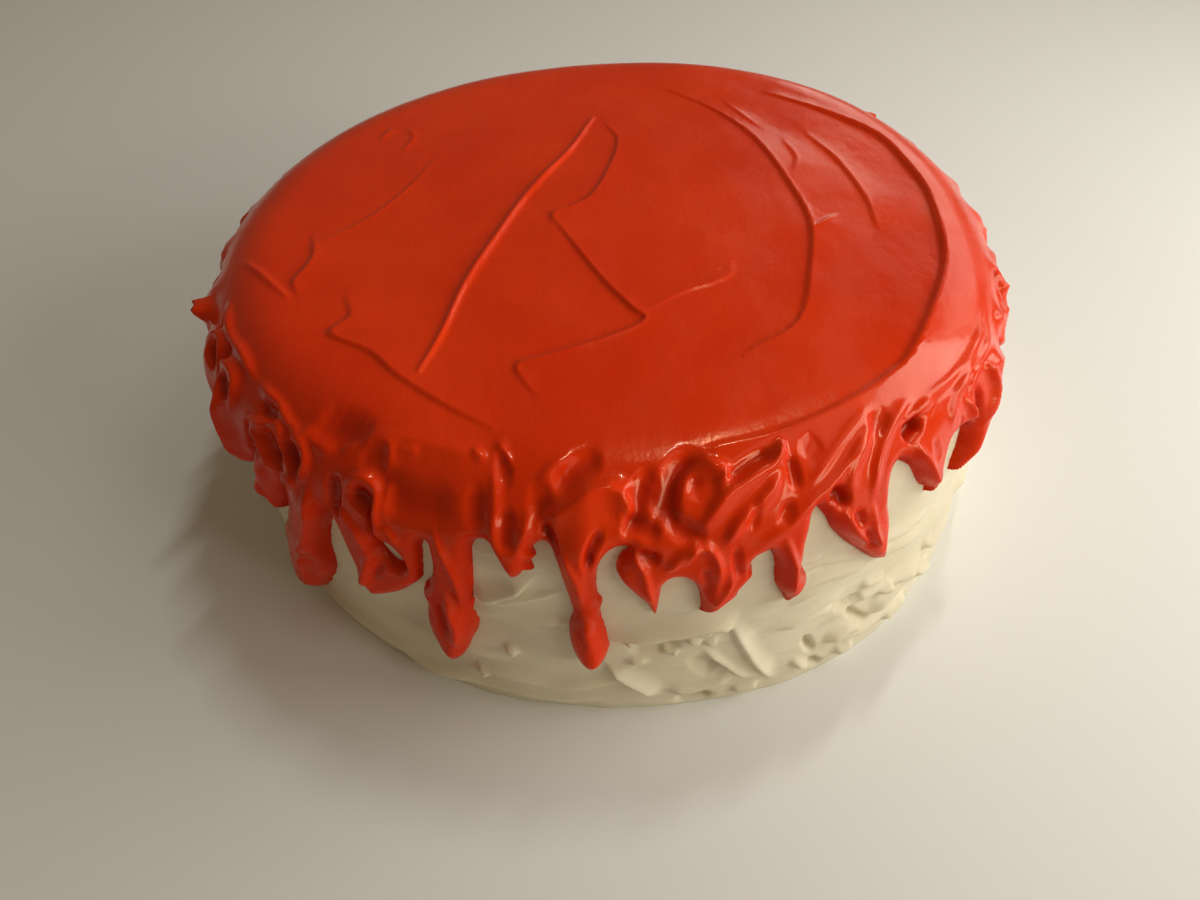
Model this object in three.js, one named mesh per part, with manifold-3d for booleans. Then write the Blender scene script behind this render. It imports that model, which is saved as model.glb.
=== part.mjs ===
// A round red velvet cake: a solid cake in cream frosting, and the red icing
// that caps it and runs down its side in drips.
// Millimetres, +Z up. The cake stands on z = 0 with its origin under its middle.
// Azimuth is counted anticlockwise from +X, so the front of the cake is at -90.

import * as THREE from 'three';
import { mergeVertices } from 'three/addons/utils/BufferGeometryUtils.js';
import Module from 'manifold-3d';

// ---- Cake under the icing -------------------------------------------------
const FOOT_RADIUS = 121.4; // cream wall just above the foot
const WALL_TOP_RADIUS = 118.6; // cream wall where the shoulder starts
const SHOULDER_START = 59; // height where the wall starts to round over
const CAKE_TOP = 79.6; // flat top of the cream, under the icing
const TOP_FLAT_RADIUS = 97; // flat part of the top
const FOOT_ROUND = 1.4; // small round where the wall meets the base
const LEAN = -3.3; // the top sits this far to the left of the foot
const LEAN_HEIGHT = 70; // height over which the lean builds up
const FOOT_SPREAD = 2.6; // frosting squeezed out at the foot, right of the front
const FOOT_SPREAD_AT = -58; // azimuth of that squeeze
const FOOT_CENTRE_X = 1.9; // with FOOT_CENTRE_Y, puts the middle of the whole
const FOOT_CENTRE_Y = 1.4; // cake, drips and all, over the origin

// ---- Red icing ------------------------------------------------------------
const ICING_TOP = 4.4; // thickness on the flat top
const ICING_SIDE = 3.8; // thickness over the shoulder
const SKIRT_EDGE = 70.5; // height of the icing's edge between two drips
const SKIRT_WAVE = 2.2; // how far that edge wanders up and down
const RIM_RISE = 1.3; // the spread icing is proud of the flat at its rim
const RIM_HIGH_AT = 60; // azimuth where the rim is highest
const FULL_SIDE = 1.0; // extra roundness of the shoulder all round
const FULL_BACK = 2.8; // and more of it at the back on the right
const FULL_BACK_AT = 44; // azimuth where the shoulder is fullest
const FOLD_DEPTH = 1.0; // spatula folds over the shoulder
const PEAK_AZIMUTH = -165; // one pulled-up point of icing on the left
const PEAK_HEIGHT = 72;
const PEAK_PROUD = 9.5; // from the cream's skin to its tip
const PEAK_HALF = 4;
const FLARE_TOP = 70; // a drip is at its root width above this height
const FLARE_BOTTOM = 60; // and at its neck width below this one
const ICING_GAP = 0.35; // clearance between icing and cream

// ---- Mesh fineness --------------------------------------------------------
const BODY_SEGMENTS = 90;
const CAP_SEGMENTS = 108;
const DRIP_AROUND = 8;
const DRIP_ALONG = 11;

// ---- Drips that the front and the sides show ------------------------------
// root and tip: azimuth in degrees. rootZ and tipZ: heights. rootHalf, neckHalf
// and bulbHalf: half widths at the skirt, half way down and near the tip.
// proud: how far the drip stands out of the cream near its tip.
const SHOWN_DRIPS = [
  { root: -168, tip: -169, rootZ: 77, tipZ: 55, rootHalf: 12, neckHalf: 9, bulbHalf: 6, proud: 5.6 },
  { root: -156, tip: -157, rootZ: 77, tipZ: 52, rootHalf: 12, neckHalf: 9, bulbHalf: 5.5, proud: 6.6 },
  { root: -145, tip: -146, rootZ: 77, tipZ: 52, rootHalf: 12, neckHalf: 10, bulbHalf: 8, proud: 7.0 },
  { root: -136.5, tip: -139, rootZ: 77, tipZ: 42, rootHalf: 10, neckHalf: 7, bulbHalf: 3.6, proud: 5.6 },
  { root: -127.5, tip: -132.6, rootZ: 78, tipZ: 17, rootHalf: 10, neckHalf: 7, bulbHalf: 6.8, proud: 7.2 },
  { root: -118.5, tip: -124.5, rootZ: 78, tipZ: 27.5, rootHalf: 12, neckHalf: 10, bulbHalf: 6.0, proud: 4.8 },
  { root: -108.5, tip: -111.2, rootZ: 78, tipZ: 19, rootHalf: 8, neckHalf: 7.0, bulbHalf: 5.4, proud: 5.4 },
  { root: -100.6, tip: -100.2, rootZ: 77, tipZ: 60, rootHalf: 8, neckHalf: 5.6, bulbHalf: 3.6, proud: 4.4 },
  { root: -93.2, tip: -93.2, rootZ: 78, tipZ: 26, rootHalf: 9, neckHalf: 3.6, bulbHalf: 5.4, proud: 5.6 },
  { root: -86.6, tip: -85.2, rootZ: 77, tipZ: 45.5, rootHalf: 8, neckHalf: 5.8, bulbHalf: 3.0, proud: 4.4 },
  { root: -77.5, tip: -78.4, rootZ: 78, tipZ: 44.5, rootHalf: 10, neckHalf: 8.6, bulbHalf: 6.6, proud: 5.0 },
  { root: -68.4, tip: -67.6, rootZ: 77, tipZ: 41, rootHalf: 8, neckHalf: 4.4, bulbHalf: 4.0, proud: 4.8 },
  { root: -61, tip: -54.6, rootZ: 78, tipZ: 39, rootHalf: 12, neckHalf: 9.4, bulbHalf: 5.6, proud: 5.4 },
  { root: -50, tip: -45.2, rootZ: 78, tipZ: 50.5, rootHalf: 10, neckHalf: 7.2, bulbHalf: 5.0, proud: 5.0 },
  { root: -29, tip: -37.5, rootZ: 77, tipZ: 48, rootHalf: 11, neckHalf: 9, bulbHalf: 4.4, proud: 6.6 },
  { root: -21, tip: -23, rootZ: 76, tipZ: 62, rootHalf: 10, neckHalf: 7.5, bulbHalf: 5, proud: 5.0 },
];


// ---- Drips round the back, by a rule --------------------------------------
const BACK_FROM = -11;
const BACK_TO = 181;
const BACK_COUNT = 17;
const BACK_SEED = 20;
const BACK_TIPS = [58, 34, 50, 24, 61, 42]; // tip heights, taken in turn

const RAD = Math.PI / 180;

function seededRandom(seed) {
  let state = seed >>> 0;
  return () => {
    state = (state * 1664525 + 1013904223) >>> 0;
    return state / 4294967296;
  };
}

function smoothstep(a, b, x) {
  const t = Math.min(Math.max((x - a) / (b - a), 0), 1);
  return t * t * (3 - 2 * t);
}

// Slow unevenness round the cake: a few waves that meet at 360 degrees.
function unevenness(azimuth, phase) {
  const a = azimuth * RAD;
  return 0.5 * Math.sin(3 * a + phase) + 0.3 * Math.sin(7 * a + 2.1 * phase)
    + 0.2 * Math.sin(13 * a + 0.7 * phase);
}

// A smooth swelling, 1 at azimuth `at` and 0 from `reach` degrees away.
function swell(azimuth, at, reach) {
  const away = Math.abs(((azimuth - at + 540) % 360) - 180);
  return 1 - smoothstep(0, reach, away);
}

// The frosted side: bands left by the spatula, lumps at the foot, and the
// fuller right-hand side, as millimetres added to the wall's radius.
function sideRelief(azimuth, z) {
  const onWall = smoothstep(0, 5, z) * (1 - smoothstep(54, 64, z));
  const bandHeight = 41 + 3 * unevenness(azimuth, 1.3);
  const band = 0.9 * smoothstep(bandHeight + 3, bandHeight - 1, z);
  const lumps = 0.7 * unevenness(azimuth + 0.6 * z, 4.2);
  const spread = 0.5 * unevenness(azimuth, 2.6) + FOOT_SPREAD * swell(azimuth, FOOT_SPREAD_AT, 26);
  return onWall * (band + lumps) + spread * (1 - smoothstep(6, 24, z));
}

// A point on the cake's own skin, `lift` millimetres outside it. The height z
// picks the place on the wall or, above SHOULDER_START, on the rounded shoulder.
function skinPoint(azimuth, z, lift) {
  let radius = FOOT_RADIUS;
  let outR = 1;
  let outZ = 0;
  if (z > SHOULDER_START) {
    const sine = Math.min((z - SHOULDER_START) / (CAKE_TOP - SHOULDER_START), 1);
    const across = Math.sqrt(1 - sine * sine);
    radius = TOP_FLAT_RADIUS + (WALL_TOP_RADIUS - TOP_FLAT_RADIUS) * across;
    outR = across;
    outZ = sine;
  } else {
    radius += (WALL_TOP_RADIUS - FOOT_RADIUS) * (z / SHOULDER_START);
  }
  radius += sideRelief(azimuth, z) + lift * outR;
  return placed(azimuth, radius, z + lift * outZ);
}

function placed(azimuth, radius, z) {
  const lean = LEAN * Math.min(Math.max(z / LEAN_HEIGHT, 0), 1);
  const a = azimuth * RAD;
  const x = FOOT_CENTRE_X + lean + radius * Math.cos(a);
  const y = FOOT_CENTRE_Y + radius * Math.sin(a);
  return new THREE.Vector3(x, y, z);
}

// A lathed form whose rows, listed from the bottom up, are then laid on the
// uneven skin: each row's place(azimuth) gives the point at that azimuth.
function lathedSkin(rows, segments) {
  const profile = rows.map((row, i) => new THREE.Vector2(row.radius, i));
  const geometry = new THREE.LatheGeometry(profile, segments);
  const position = geometry.attributes.position;
  for (let i = 0; i < position.count; i += 1) {
    const row = rows[i % rows.length];
    const azimuth = (Math.floor(i / rows.length) % segments) * (360 / segments);
    const point = row.place(azimuth);
    position.setXYZ(i, point.x, point.y, point.z);
  }
  return geometry;
}

function axisRow(z) {
  return { radius: 0, place: () => placed(0, 0, z) };
}

function flatRow(radius, z) {
  return { radius, place: (azimuth) => placed(azimuth, radius, z) };
}

function skinRow(z, lift) {
  return { radius: 1, place: (azimuth) => skinPoint(azimuth, z, lift) };
}

// The solid cake in its cream. `grow` makes the slightly larger form that the
// icing is hollowed with.
function cakeForm(grow) {
  const rows = [axisRow(-grow)];
  rows.push({ radius: 1, place: (azimuth) => {
    const foot = skinPoint(azimuth, 0, grow - FOOT_ROUND);
    foot.z = -grow;
    return foot;
  } });
  for (const z of [1.5, 7, 14, 22, 30, 38, 42, 50, 59, 66, 72, 77]) {
    rows.push(skinRow(z, grow));
  }
  rows.push(flatRow(TOP_FLAT_RADIUS, CAKE_TOP + grow));
  rows.push(flatRow(TOP_FLAT_RADIUS * 0.5, CAKE_TOP + grow));
  rows.push(axisRow(CAKE_TOP + grow));
  return lathedSkin(rows, BODY_SEGMENTS);
}

// Height of the icing's edge between the drips.
function skirtEdge(azimuth) {
  return SKIRT_EDGE + SKIRT_WAVE * (unevenness(azimuth, 5.1) + 0.6 * unevenness(3 * azimuth, 0.4));
}

// Spatula folds over the shoulder: slanted ridges between smooth hollows, and
// the fuller roundness of the shoulder at the back on the right.
function folds(azimuth, z) {
  const slant = (azimuth + 0.9 * (z - 70)) * RAD;
  const waves = 0.6 * Math.sin(17 * slant) + 0.4 * Math.sin(23 * slant + 1.9);
  const folded = FOLD_DEPTH * waves * (1 - smoothstep(75, 79, z));
  const full = FULL_SIDE + FULL_BACK * swell(azimuth, FULL_BACK_AT, 58);
  return folded + full * smoothstep(60, 72, z) * (1 - 0.7 * smoothstep(77.5, 79.6, z));
}

// The spread top, level but for the rim, which stands a little proud and is
// proudest at the back on the right.
function topRelief(azimuth, radius) {
  const rim = smoothstep(76, 94, radius) * (1 - smoothstep(97, 104, radius));
  return RIM_RISE * rim * (0.25 * unevenness(azimuth, 0.9) + swell(azimuth, RIM_HIGH_AT, 60));
}

function capForm() {
  const rows = [axisRow(CAKE_TOP + ICING_TOP)];
  for (const radius of [50, 78, 89, TOP_FLAT_RADIUS]) {
    rows.push({ radius, place: (azimuth) => {
      const top = CAKE_TOP + ICING_TOP + topRelief(azimuth, radius);
      return placed(azimuth, radius, top);
    } });
  }
  const shoulder = CAKE_TOP - SHOULDER_START;
  for (const angle of [13, 25, 37, 48]) {
    rows.push({ radius: 1, place: (azimuth) => {
      const z = SHOULDER_START + shoulder * Math.cos(angle * RAD);
      const rim = topRelief(azimuth, TOP_FLAT_RADIUS) * (1 - smoothstep(5, 40, angle));
      return skinPoint(azimuth, z, ICING_TOP + rim + folds(azimuth, z));
    } });
  }
  rows.push({ radius: 1, place: (azimuth) => {
    const z = skirtEdge(azimuth);
    return skinPoint(azimuth, z, ICING_SIDE + folds(azimuth, z));
  } });
  rows.push({ radius: 1, place: (azimuth) => skinPoint(azimuth, skirtEdge(azimuth) - 2.4, 1.6) });
  rows.push({ radius: 1, place: (azimuth) => skinPoint(azimuth, skirtEdge(azimuth) - 2.2, -3) });
  rows.push(axisRow(SKIRT_EDGE - 3));
  return lathedSkin(rows.reverse(), CAP_SEGMENTS);
}

// One drip: a drawn-out drop laid on the cake's skin. A sphere is stretched so
// that its latitude runs from root to tip and its longitude goes round it.
function dripForm(drip) {
  const geometry = new THREE.SphereGeometry(1, DRIP_AROUND, DRIP_ALONG);
  const position = geometry.attributes.position;
  const v = new THREE.Vector3();
  for (let i = 0; i < position.count; i += 1) {
    v.fromBufferAttribute(position, i);
    const along = Math.acos(Math.min(Math.max(v.y, -1), 1)) / Math.PI;
    const around = Math.atan2(v.z, v.x);
    const ring = Math.hypot(v.x, v.z) < 1e-6 ? 0 : 1;
    const point = dripPoint(drip, along, around, ring);
    position.setXYZ(i, point.x, point.y, point.z);
  }
  return geometry;
}

function dripPoint(drip, along, around, ring) {
  const z = drip.rootZ + (drip.tipZ - drip.rootZ) * along;
  const drift = smoothstep(0, 1, along);
  const azimuth = drip.root + (drip.tip - drip.root) * drift;
  const flare = (drip.rootHalf - drip.neckHalf) * smoothstep(FLARE_BOTTOM, FLARE_TOP, z);
  const width = drip.neckHalf + flare + (drip.bulbHalf - drip.neckHalf) * smoothstep(0.5, 0.82, along);
  const closing = Math.sqrt(Math.max(0, 1 - Math.max(0, (along - 0.84) / 0.16) ** 2));
  const opening = Math.sqrt(Math.max(0, 1 - Math.max(0, (0.12 - along) / 0.12) ** 2));
  const half = width * closing * opening * ring;
  const rootThick = ICING_SIDE + FULL_SIDE + 0.9;
  const thick = (rootThick + (drip.proud - rootThick) * smoothstep(0.2, 0.7, along))
    * closing * opening * ring;
  const across = half * Math.cos(around) / FOOT_RADIUS / RAD;
  const lift = -0.4 + thick * Math.sin(around) * (Math.sin(around) > 0 ? 1 : 0.6);
  return skinPoint(azimuth + across, z, lift);
}

// The pulled-up point: a cone that stands out of the shoulder.
function peakForm() {
  const root = skinPoint(PEAK_AZIMUTH, PEAK_HEIGHT, 0);
  const tip = skinPoint(PEAK_AZIMUTH, PEAK_HEIGHT, PEAK_PROUD);
  const outward = tip.clone().sub(root).normalize();
  const cone = new THREE.ConeGeometry(PEAK_HALF, PEAK_PROUD, 7);
  cone.translate(0, PEAK_PROUD / 2, 0);
  cone.applyQuaternion(new THREE.Quaternion().setFromUnitVectors(new THREE.Vector3(0, 1, 0), outward));
  cone.translate(root.x, root.y, root.z);
  return cone;
}

// Drips that the back and the far sides carry, in the same range of sizes.
function backDrips() {
  const random = seededRandom(BACK_SEED);
  const drips = [];
  for (let i = 0; i < BACK_COUNT; i += 1) {
    const root = BACK_FROM + (BACK_TO - BACK_FROM) * (i + 0.3 * (random() - 0.5)) / (BACK_COUNT - 1);
    const wide = random();
    drips.push({
      root,
      tip: root + 5 * (random() - 0.5),
      rootZ: 77,
      tipZ: BACK_TIPS[i % BACK_TIPS.length] + 6 * (random() - 0.5),
      rootHalf: 7.5 + 3.5 * wide,
      neckHalf: 4 + 4 * wide,
      bulbHalf: 3.4 + 2.4 * random(),
      proud: 4.4 + 1.2 * random(),
    });
  }
  return drips;
}

const wasm = await Module();
wasm.setup();

function toSolid(geometry) {
  const bare = geometry.clone();
  bare.deleteAttribute('normal');
  bare.deleteAttribute('uv');
  const merged = mergeVertices(bare, 1e-4);
  const corners = merged.index.array;
  const triangles = [];
  for (let i = 0; i < corners.length; i += 3) {
    const [a, b, c] = [corners[i], corners[i + 1], corners[i + 2]];
    if (a !== b && b !== c && c !== a) triangles.push(a, b, c);
  }
  const mesh = new wasm.Mesh({
    numProp: 3,
    vertProperties: new Float32Array(merged.attributes.position.array),
    triVerts: new Uint32Array(triangles),
  });
  return new wasm.Manifold(mesh);
}

function toGeometry(solid) {
  const mesh = solid.getMesh();
  const geometry = new THREE.BufferGeometry();
  geometry.setAttribute('position', new THREE.BufferAttribute(mesh.vertProperties, 3));
  geometry.setIndex(new THREE.BufferAttribute(mesh.triVerts, 1));
  geometry.computeVertexNormals();
  return geometry;
}

// The icing is the cap and its drips joined, hollowed by the grown cake.
function icingForm() {
  let solid = toSolid(capForm());
  for (const drip of [...SHOWN_DRIPS, ...backDrips()]) {
    solid = solid.add(toSolid(dripForm(drip)));
  }
  solid = solid.add(toSolid(peakForm()));
  const shell = solid.subtract(toSolid(cakeForm(ICING_GAP)));
  const pieces = shell.decompose().sort((a, b) => b.volume() - a.volume());
  return toGeometry(pieces[0]);
}

const creamFrosting = new THREE.MeshStandardMaterial({ color: 0xe8dcc0, roughness: 0.5, metalness: 0 });
const redIcing = new THREE.MeshStandardMaterial({ color: 0xc42b10, roughness: 0.3, metalness: 0 });

const frostedCake = new THREE.Mesh(toGeometry(toSolid(cakeForm(0))), creamFrosting);
frostedCake.name = 'frosted_cake';

const icing = new THREE.Mesh(icingForm(), redIcing);
icing.name = 'red_icing';

const cake = new THREE.Group();
cake.add(frostedCake, icing);

export default cake;
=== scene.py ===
# %% [markdown]
# # A red velvet cake
#
# A round cake stands in cream frosting. Red icing was poured on its top, spread with a
# palette knife and pushed over the edge, where it hangs in folds and drips. The packed
# model gives the frame and the sizes, so it is loaded first.

# %% Load the imported model
import math

import bmesh
import bpy
import numpy as np
from mathutils import Matrix, Vector


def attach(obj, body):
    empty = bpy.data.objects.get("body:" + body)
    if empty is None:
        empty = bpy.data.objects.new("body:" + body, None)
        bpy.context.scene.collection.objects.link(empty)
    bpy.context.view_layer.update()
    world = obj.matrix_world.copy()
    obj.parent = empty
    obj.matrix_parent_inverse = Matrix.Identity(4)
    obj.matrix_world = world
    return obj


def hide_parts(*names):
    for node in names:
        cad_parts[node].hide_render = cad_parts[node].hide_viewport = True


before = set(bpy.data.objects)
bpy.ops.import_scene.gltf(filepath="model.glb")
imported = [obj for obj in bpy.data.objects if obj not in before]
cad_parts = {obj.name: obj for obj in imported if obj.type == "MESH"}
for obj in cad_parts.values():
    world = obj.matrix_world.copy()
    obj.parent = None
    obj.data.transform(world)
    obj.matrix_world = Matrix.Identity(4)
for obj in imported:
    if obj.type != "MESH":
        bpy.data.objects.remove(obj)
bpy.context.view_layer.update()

print("packed nodes:", sorted(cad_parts))

# %% [markdown]
# ## The camera
#
# The view looks down on the cake from in front, the way a person standing at a table
# does. A camera in Blender looks along its own -Z, with +Y up in the picture, so its
# matrix is built from three directions: right, up and backwards. The small roll is kept.

# %% Place the camera
MM = 0.001
CAMERA_AT = Vector((0.21, -242.32, 231.87)) * MM
CAMERA_RIGHT = Vector((0.99956, -0.00993, -0.02794))
CAMERA_UP = Vector((0.02650, 0.72151, 0.69190))
LENS_MM = 27.03
SENSOR_MM = 36.0


def new_object(name, data):
    """An object that shows this data, linked into the scene."""
    made = bpy.data.objects.new(name, data)
    bpy.context.scene.collection.objects.link(made)
    return made


def mesh_object(name, shape):
    """An object made from a finished bmesh, which is then let go."""
    mesh = bpy.data.meshes.new(name)
    shape.to_mesh(mesh)
    shape.free()
    return new_object(name, mesh)


camera_data = bpy.data.cameras.new("table_view")
camera_data.lens = LENS_MM
camera_data.sensor_width = SENSOR_MM
camera = new_object("table_view", camera_data)
backwards = CAMERA_RIGHT.cross(CAMERA_UP).normalized()
turn = Matrix((CAMERA_RIGHT, CAMERA_UP, backwards)).transposed()
camera.matrix_world = Matrix.Translation(CAMERA_AT) @ turn.to_4x4()
bpy.context.scene.camera = camera
print("camera looks down by", round(math.degrees(math.asin(backwards.z)), 1), "degrees")

# %% [markdown]
# ## The cake's own skin
#
# Everything on this cake follows one surface: a flat top, a rounded shoulder and a wall
# that leans a little. A place on it is given by an azimuth, in degrees anticlockwise from
# +X, and by the way down: millimetres along the skin from the edge of the flat top. The
# helpers below turn such a place into a point, so icing and frosting always fit.

# %% Sizes of the cake and its skin
FOOT_RADIUS = 121.4
WALL_TOP_RADIUS = 118.6
SHOULDER_START = 59.0
CAKE_TOP = 79.6
TOP_FLAT_RADIUS = 97.0
SHOULDER_WAY = 33.2
ICED_RISE = 24.9  # how far the iced top stands above the shoulder's start
LEAN = -3.3
LEAN_HEIGHT = 70.0
CENTRE_X = 1.9
CENTRE_Y = 1.4
MM_PER_DEGREE = 2.12
FRONT = -90.0
BACK = 90.0


def smoothstep(low, high, value):
    share = np.clip((value - low) / (high - low), 0.0, 1.0)
    return share * share * (3.0 - 2.0 * share)


def way_down(height):
    """Millimetres down the skin, from the top's edge, to icing seen at this height."""
    cosine = np.clip((np.asarray(height, float) - SHOULDER_START) / ICED_RISE, -1.0, 1.0)
    on_shoulder = SHOULDER_WAY * np.degrees(np.arccos(cosine)) / 90.0
    on_wall = SHOULDER_WAY + SHOULDER_START - height
    return np.where(height > SHOULDER_START, on_shoulder, on_wall)


def skin_points(azimuth, down, lift):
    """Points in mm: on the skin at `down` mm from the top's edge, raised by `lift` mm."""
    angle = np.clip(down / SHOULDER_WAY, 0.0, 1.0) * (math.pi / 2)
    radius = TOP_FLAT_RADIUS + np.minimum(down, 0.0)
    radius = radius + (WALL_TOP_RADIUS - TOP_FLAT_RADIUS) * np.sin(angle)
    height = SHOULDER_START + (CAKE_TOP - SHOULDER_START) * np.cos(angle)
    below = np.maximum(down - SHOULDER_WAY, 0.0)
    height = height - below
    radius = radius + (FOOT_RADIUS - WALL_TOP_RADIUS) * below / SHOULDER_START
    radius = radius + lift * np.sin(angle)
    height = height + lift * np.cos(angle)
    return lean_over(azimuth, radius, height)


def lean_over(azimuth, radius, height):
    """The cake leans a little to the left, so higher rings have their middle farther left."""
    shift = CENTRE_X + LEAN * np.clip(height / LEAN_HEIGHT, 0.0, 1.0)
    turn_by = np.radians(azimuth)
    across = shift + radius * np.cos(turn_by)
    deep = CENTRE_Y + radius * np.sin(turn_by)
    return np.stack([across, deep, height + 0.0 * across], axis=1)


def degrees_from(azimuth, middle):
    """Degrees round the cake from a given azimuth, between -180 and 180."""
    return (np.asarray(azimuth, float) - middle + 180.0) % 360.0 - 180.0


def around(azimuth):
    """Millimetres round the wall from the front, so that shapes on it can be measured."""
    return degrees_from(azimuth, FRONT) * MM_PER_DEGREE


def flat_place(azimuth, down):
    """The radius of points on the flat top, and how far across and how deep they lie."""
    radius = TOP_FLAT_RADIUS + down
    turn_by = np.radians(azimuth)
    return radius, radius * np.cos(turn_by), radius * np.sin(turn_by)


print("the skin runs", round(float(way_down(0.0)), 1), "mm down from the flat top")

# %% [markdown]
# ## Strokes of the palette knife
#
# A knife leaves two kinds of marks. Where two sweeps meet, a sharp crest stands up with
# hollow flanks. Where the knife turns, it leaves a smooth hollow. Both are drawn here as a
# line on the skin with a height, a width to each side (one number serves for both) and
# the points of the line. Long strokes taper at their ends, and short wide ones end round.
# The relief is the sum of all strokes.

# %% Crests and hollows
CREST_SOFTNESS = 0.35


def line_distance(across, down, start, end):
    """Distance in mm from each point to a line, and the share of the way along it."""
    run = (end[0] - start[0], end[1] - start[1])
    length2 = max(run[0] ** 2 + run[1] ** 2, 1e-9)
    share = ((across - start[0]) * run[0] + (down - start[1]) * run[1]) / length2
    share = np.clip(share, 0.0, 1.0)
    away = np.hypot(across - start[0] - share * run[0], down - start[1] - share * run[1])
    return away, share


def smooth_line(points, per_step=4):
    """More points along a smooth curve through the given ones."""
    given = [Vector((*p, 0.0)) for p in points]
    given = [2 * given[0] - given[1]] + given + [2 * given[-1] - given[-2]]
    made = []
    for a, b, c, d in zip(given, given[1:], given[2:], given[3:]):
        for step in range(per_step):
            t = step / per_step
            pull = b * 2 + (c - a) * t + (2 * a - 5 * b + 4 * c - d) * t * t
            made.append((pull + (3 * b - a - 3 * c + d) * t ** 3) / 2)
    made.append(given[-2])
    return np.array([p.xy for p in made])


def along_line(across, down, line):
    """Nearest distance to a curve, the side (1 on its right), and the share along it."""
    best = np.full_like(across, 1e3)
    side = np.ones_like(across)
    share_there = np.zeros_like(across)
    for index, (one, two) in enumerate(zip(line[:-1], line[1:])):
        away, share = line_distance(across, down, one, two)
        run = two - one
        cross = run[0] * (down - one[1]) - run[1] * (across - one[0])
        nearer = away < best
        best = np.where(nearer, away, best)
        side = np.where(nearer, np.sign(cross), side)
        share_there = np.where(nearer, (index + share) / (len(line) - 1), share_there)
    return best, side, share_there


def box_near(across, down, line, reach):
    """Which points lie in the box round a line. The others need no distance."""
    low = line.min(0) - reach
    high = line.max(0) + reach
    return (across > low[0]) & (across < high[0]) & (down > low[1]) & (down < high[1])


def stroke_relief(across, down, strokes):
    """Sum of all strokes in mm. A crest has hollow flanks, and a hollow a round floor."""
    relief = np.zeros_like(across)
    for height, *widths, line in strokes:
        reach = max(widths)
        near = box_near(across, down, line, reach)
        if not near.any():
            continue
        away, side, share = along_line(across[near], down[near], line)
        ends = smoothstep(-0.06, 0.24, share) * (1.0 - smoothstep(0.76, 1.06, share))
        length = np.sum(np.linalg.norm(np.diff(line, axis=0), axis=1))
        ends = 1.0 - float(smoothstep(1.0, 3.0, length / reach)) * (1.0 - ends)
        width = np.where(side < 0, widths[0], widths[-1]) * (0.55 + 0.45 * ends)
        soft = np.sqrt(away ** 2 + CREST_SOFTNESS ** 2) - CREST_SOFTNESS
        fall = np.clip(1.0 - soft / width, 0.0, 1.0)
        profile = fall ** 2 if height > 0 else (1.0 - (1.0 - fall) ** 2) ** 2
        relief[near] += height * ends * profile
    return relief


def unrolled(points):
    """A smooth line, in mm on the unrolled skin, through points given by azimuth and way."""
    return smooth_line([((azimuth - FRONT) * MM_PER_DEGREE, down) for azimuth, down in points])


def on_skin(strokes):
    """The same strokes with their lines unrolled."""
    return [(*sizes, unrolled(points)) for *sizes, points in strokes]


def waves(azimuth, height, seed, scale):
    """Slow seeded unevenness round the cake, from -1 to 1, that meets at 360 degrees."""
    random = np.random.RandomState(seed)
    total = np.zeros_like(azimuth)
    for order in (2, 3, 5, 7, 11, 16):
        phase, tilt = random.uniform(0, 2 * math.pi, 2)
        turns = order * np.radians(azimuth) + tilt * height / scale
        total += np.sin(turns + phase) / order ** 0.6
    return total / 2.2


print("a bend of the knife:", len(smooth_line([(0, 0), (6, 2), (12, 0)])), "points from 3")

# %% [markdown]
# ## The cream side
#
# The frosting was smoothed with a knife held against the side. That leaves long level
# ledges, a torn patch with thin lips near the foot, smears that rise to the right, and more
# cream squeezed out at the foot on the right. A ledge is a crest with one wide and one
# narrow flank. The marks in view are listed one by one, and a seeded draw repeats them round
# the sides and the back.

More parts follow.
